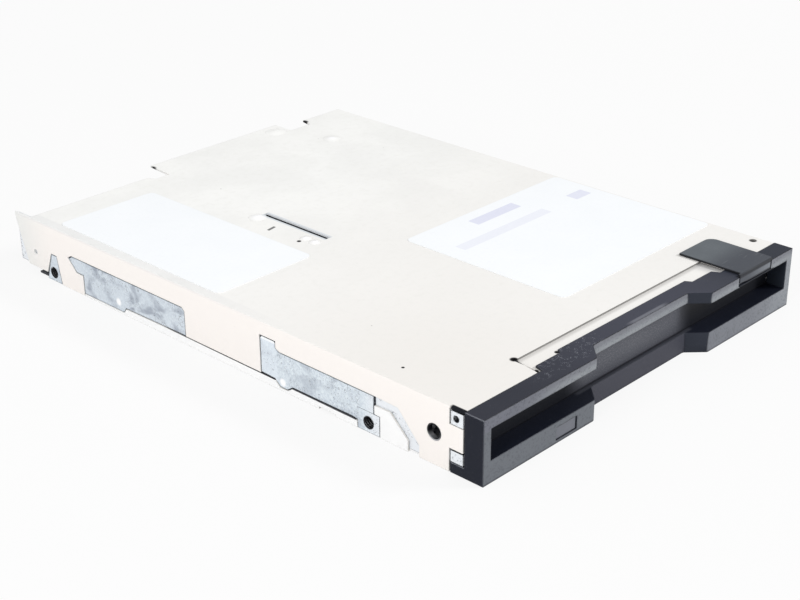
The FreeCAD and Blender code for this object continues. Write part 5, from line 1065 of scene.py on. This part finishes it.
def make_pressings():
    """Marks pressed in the cover and in the frame's walls."""
    top = [
        dome((-14.8, 25.1, COVER_TOP), (2.0, 2.0), 0.34, "z"),
        dome((-15.6, 9.3, COVER_TOP), (1.4, 1.3), 0.26, "z"),
        dome((-15.8, 6.5, COVER_TOP), (1.4, 1.3), 0.26, "z"),
        dome((31.0, 49.4, COVER_TOP), (2.2, 2.2), 0.26, "z", 36, 10),
        dome((25.0, 63.0, COVER_TOP), (2.8, 2.4), 0.3, "z"),
    ]
    place("cover_pressings", "chassis", "cover", sheath(*top))
    walls = [
        dome((side, along, up), (reach, reach), 0.42, normal)
        for side, normal in ((-WALL, "-x"), (WALL, "x"))
        for along, up, reach in DIMPLES
    ]
    place("wall_dimples", "chassis", "zinc", sheath(*walls))


def make_leads():
    """Bent leads of the chips: out of the body, down to the board and out again, each a flat strip."""
    line = np.array([(0.0, 1.95), (0.25, 1.95), (0.4, 1.9), (0.5, 1.5), (0.6, 1.43), (1.0, 1.43)])
    ring = np.array([(-0.15, 0.07), (0.15, 0.07), (0.15, -0.07), (-0.15, -0.07)])
    square = np.ones((len(line), 4))
    pitch = 0.8
    strips = []
    for node in ("controller_chip", "driver_chip"):
        low, high = span(node)
        middle, reach = (low + high) / 2, (high[0] - low[0]) / 2
        count = int((2 * reach - 1.2) / pitch) + 1
        out = (reach - 0.05 + line[:, :1]) * square
        for turn in angles(4):
            for offset in (np.arange(count) - (count - 1) / 2) * pitch:
                side = (offset + ring[:, 0]) * square
                strips.append(turned_round(out, side, line[:, 1:] + ring[:, 1], turn, middle))
    place("chip_leads", "chassis", "tin", sheath(*strips))


def pillow(centre, half_sizes, power=0.25, rings=13, around=28):
    """A rounded block: each axis takes half its size times the sines and cosines of two angles raised
    to a small power, which squares off a ball."""
    tilt = np.linspace(-math.pi / 2 + 0.001, math.pi / 2 - 0.001, rings)[:, None]
    angle = angles(around)[None]

    def squared(value):
        return np.sign(value) * abs(value) ** power

    x = squared(np.cos(tilt)) * squared(np.cos(angle))
    y = squared(np.cos(tilt)) * squared(np.sin(angle))
    z = squared(np.sin(tilt)) * np.ones_like(angle)
    return (np.stack([x, y, z], axis=-1) * half_sizes + centre) * MM


def make_capacitors():
    """Chip capacitors in rows 4 mm apart: a ceramic block, and a tinned cap over each end."""
    low, high = span("capacitors")
    blocks, caps = [], []
    for x, row in ((38.6, 0), (38.6, 1), (38.6, 2), (-39.4, 0), (-39.4, 1), (-21.4, 1)):
        centre = np.array([x, low[1] + row * 4.0 + 1.0, (low[2] + high[2]) / 2])
        blocks.append(pillow(centre, (0.56, 0.98, 0.42)))
        for end in (-0.8, 0.8):
            caps.append(pillow(centre + [0, end, 0], (0.6, 0.2, 0.45), 0.2, 9, 20))
    place("capacitor_blocks", "chassis", "capacitor", sheath(*blocks), "capacitors")
    place("capacitor_caps", "chassis", "tin", sheath(*caps))


make_moulded_front()
make_springs()
make_lead_screw()
make_stepper_can()
make_screws()
make_windings()
make_lug_threads()
make_pressings()
make_leads()
make_capacitors()


# Floor, light and camera


def make_floor():
    """A pale floor that looks white where nothing shades it, whiter with the distance, and plain matt
    under the drive, so that no light shows up through its openings."""
    mesh = bpy.data.meshes.new("floor")
    mesh.from_pydata([(-4, -4, 0), (4, -4, 0), (4, 4, 0), (-4, 4, 0)], [], [(0, 1, 2, 3)])
    floor = add_object("floor", mesh)
    floor.location.z = -0.00005
    material = bpy.data.materials.new("white_floor")
    material.use_nodes = True
    tree = material.node_tree
    tree.nodes.clear()
    split = add_node(tree, "SeparateXYZ")
    feed(tree, add_node(tree, "TexCoord").outputs["Object"], split.inputs["Vector"])
    across, along = (Value(tree, split.outputs[axis]) for axis in ("X", "Y"))
    far = ((across * across + along * along) ** 0.5).rise(0.12, 0.9)
    under = across.within(-0.046, 0.046, 0.001) * along.within(-0.061, 0.06, 0.001)
    seen = add_node(tree, "LightPath").outputs
    watched = Value(tree, seen["Is Camera Ray"]).most(seen["Is Glossy Ray"])
    share = watched * (0.86 + 0.14 * far) * (1.0 - under)
    matt = add_node(tree, "BsdfDiffuse", values={"Color": (0.74, 0.74, 0.74, 1)})
    glow = add_node(tree, "Emission", values={"Color": (1, 1, 1, 1), "Strength": 1.0})
    both = add_node(tree, "MixShader", values={0: share, 1: matt.outputs[0], 2: glow.outputs[0]})
    add_node(tree, "OutputMaterial", values={"Surface": both.outputs[0]})
    mesh.materials.append(material)


def make_sky(level):
    """White surroundings: full white to the camera, and a level share of that as light."""
    world = bpy.data.worlds.new("white_room")
    bpy.context.scene.world = world
    world.use_nodes = True
    tree = world.node_tree
    seen = add_node(tree, "LightPath").outputs["Is Camera Ray"]
    background = tree.nodes["Background"].inputs
    background["Color"].default_value = (1, 1, 1, 1)
    feed(tree, Value(tree, seen) * (1 - level) + level, background["Strength"])


def make_lamp(name, spot, target, size, power):
    """A square soft lamp that faces a point."""
    data = bpy.data.lights.new(name, "AREA")
    data.shape = "SQUARE"
    data.size = size
    data.energy = power
    lamp = add_object(name, data)
    lamp.location = spot
    lamp.rotation_euler = (Vector(target) - Vector(spot)).to_track_quat("-Z", "Y").to_euler()


def make_camera():
    """The photo's viewpoint, worked out from the drive's corners."""
    data = bpy.data.cameras.new("camera")
    data.lens = 69.947
    data.sensor_width = 36.0
    data.clip_start = 0.01
    camera = add_object("camera", data)
    camera.location = (-0.216453, -0.208711, 0.139095)
    camera.rotation_euler = Euler([math.radians(a) for a in (64.57107, 0.319957, -46.547694)])
    bpy.context.scene.camera = camera


make_floor()
make_sky(0.6)
make_lamp("left_lamp", (-0.75, -0.1, 0.42), (0, 0, 0), 0.4, 3.5)
make_lamp("front_lamp", (0.85, -0.95, 0.85), (0, -0.05, 0.0), 0.34, 12.4)
make_camera()
bpy.context.scene.view_settings.view_transform = "Standard"
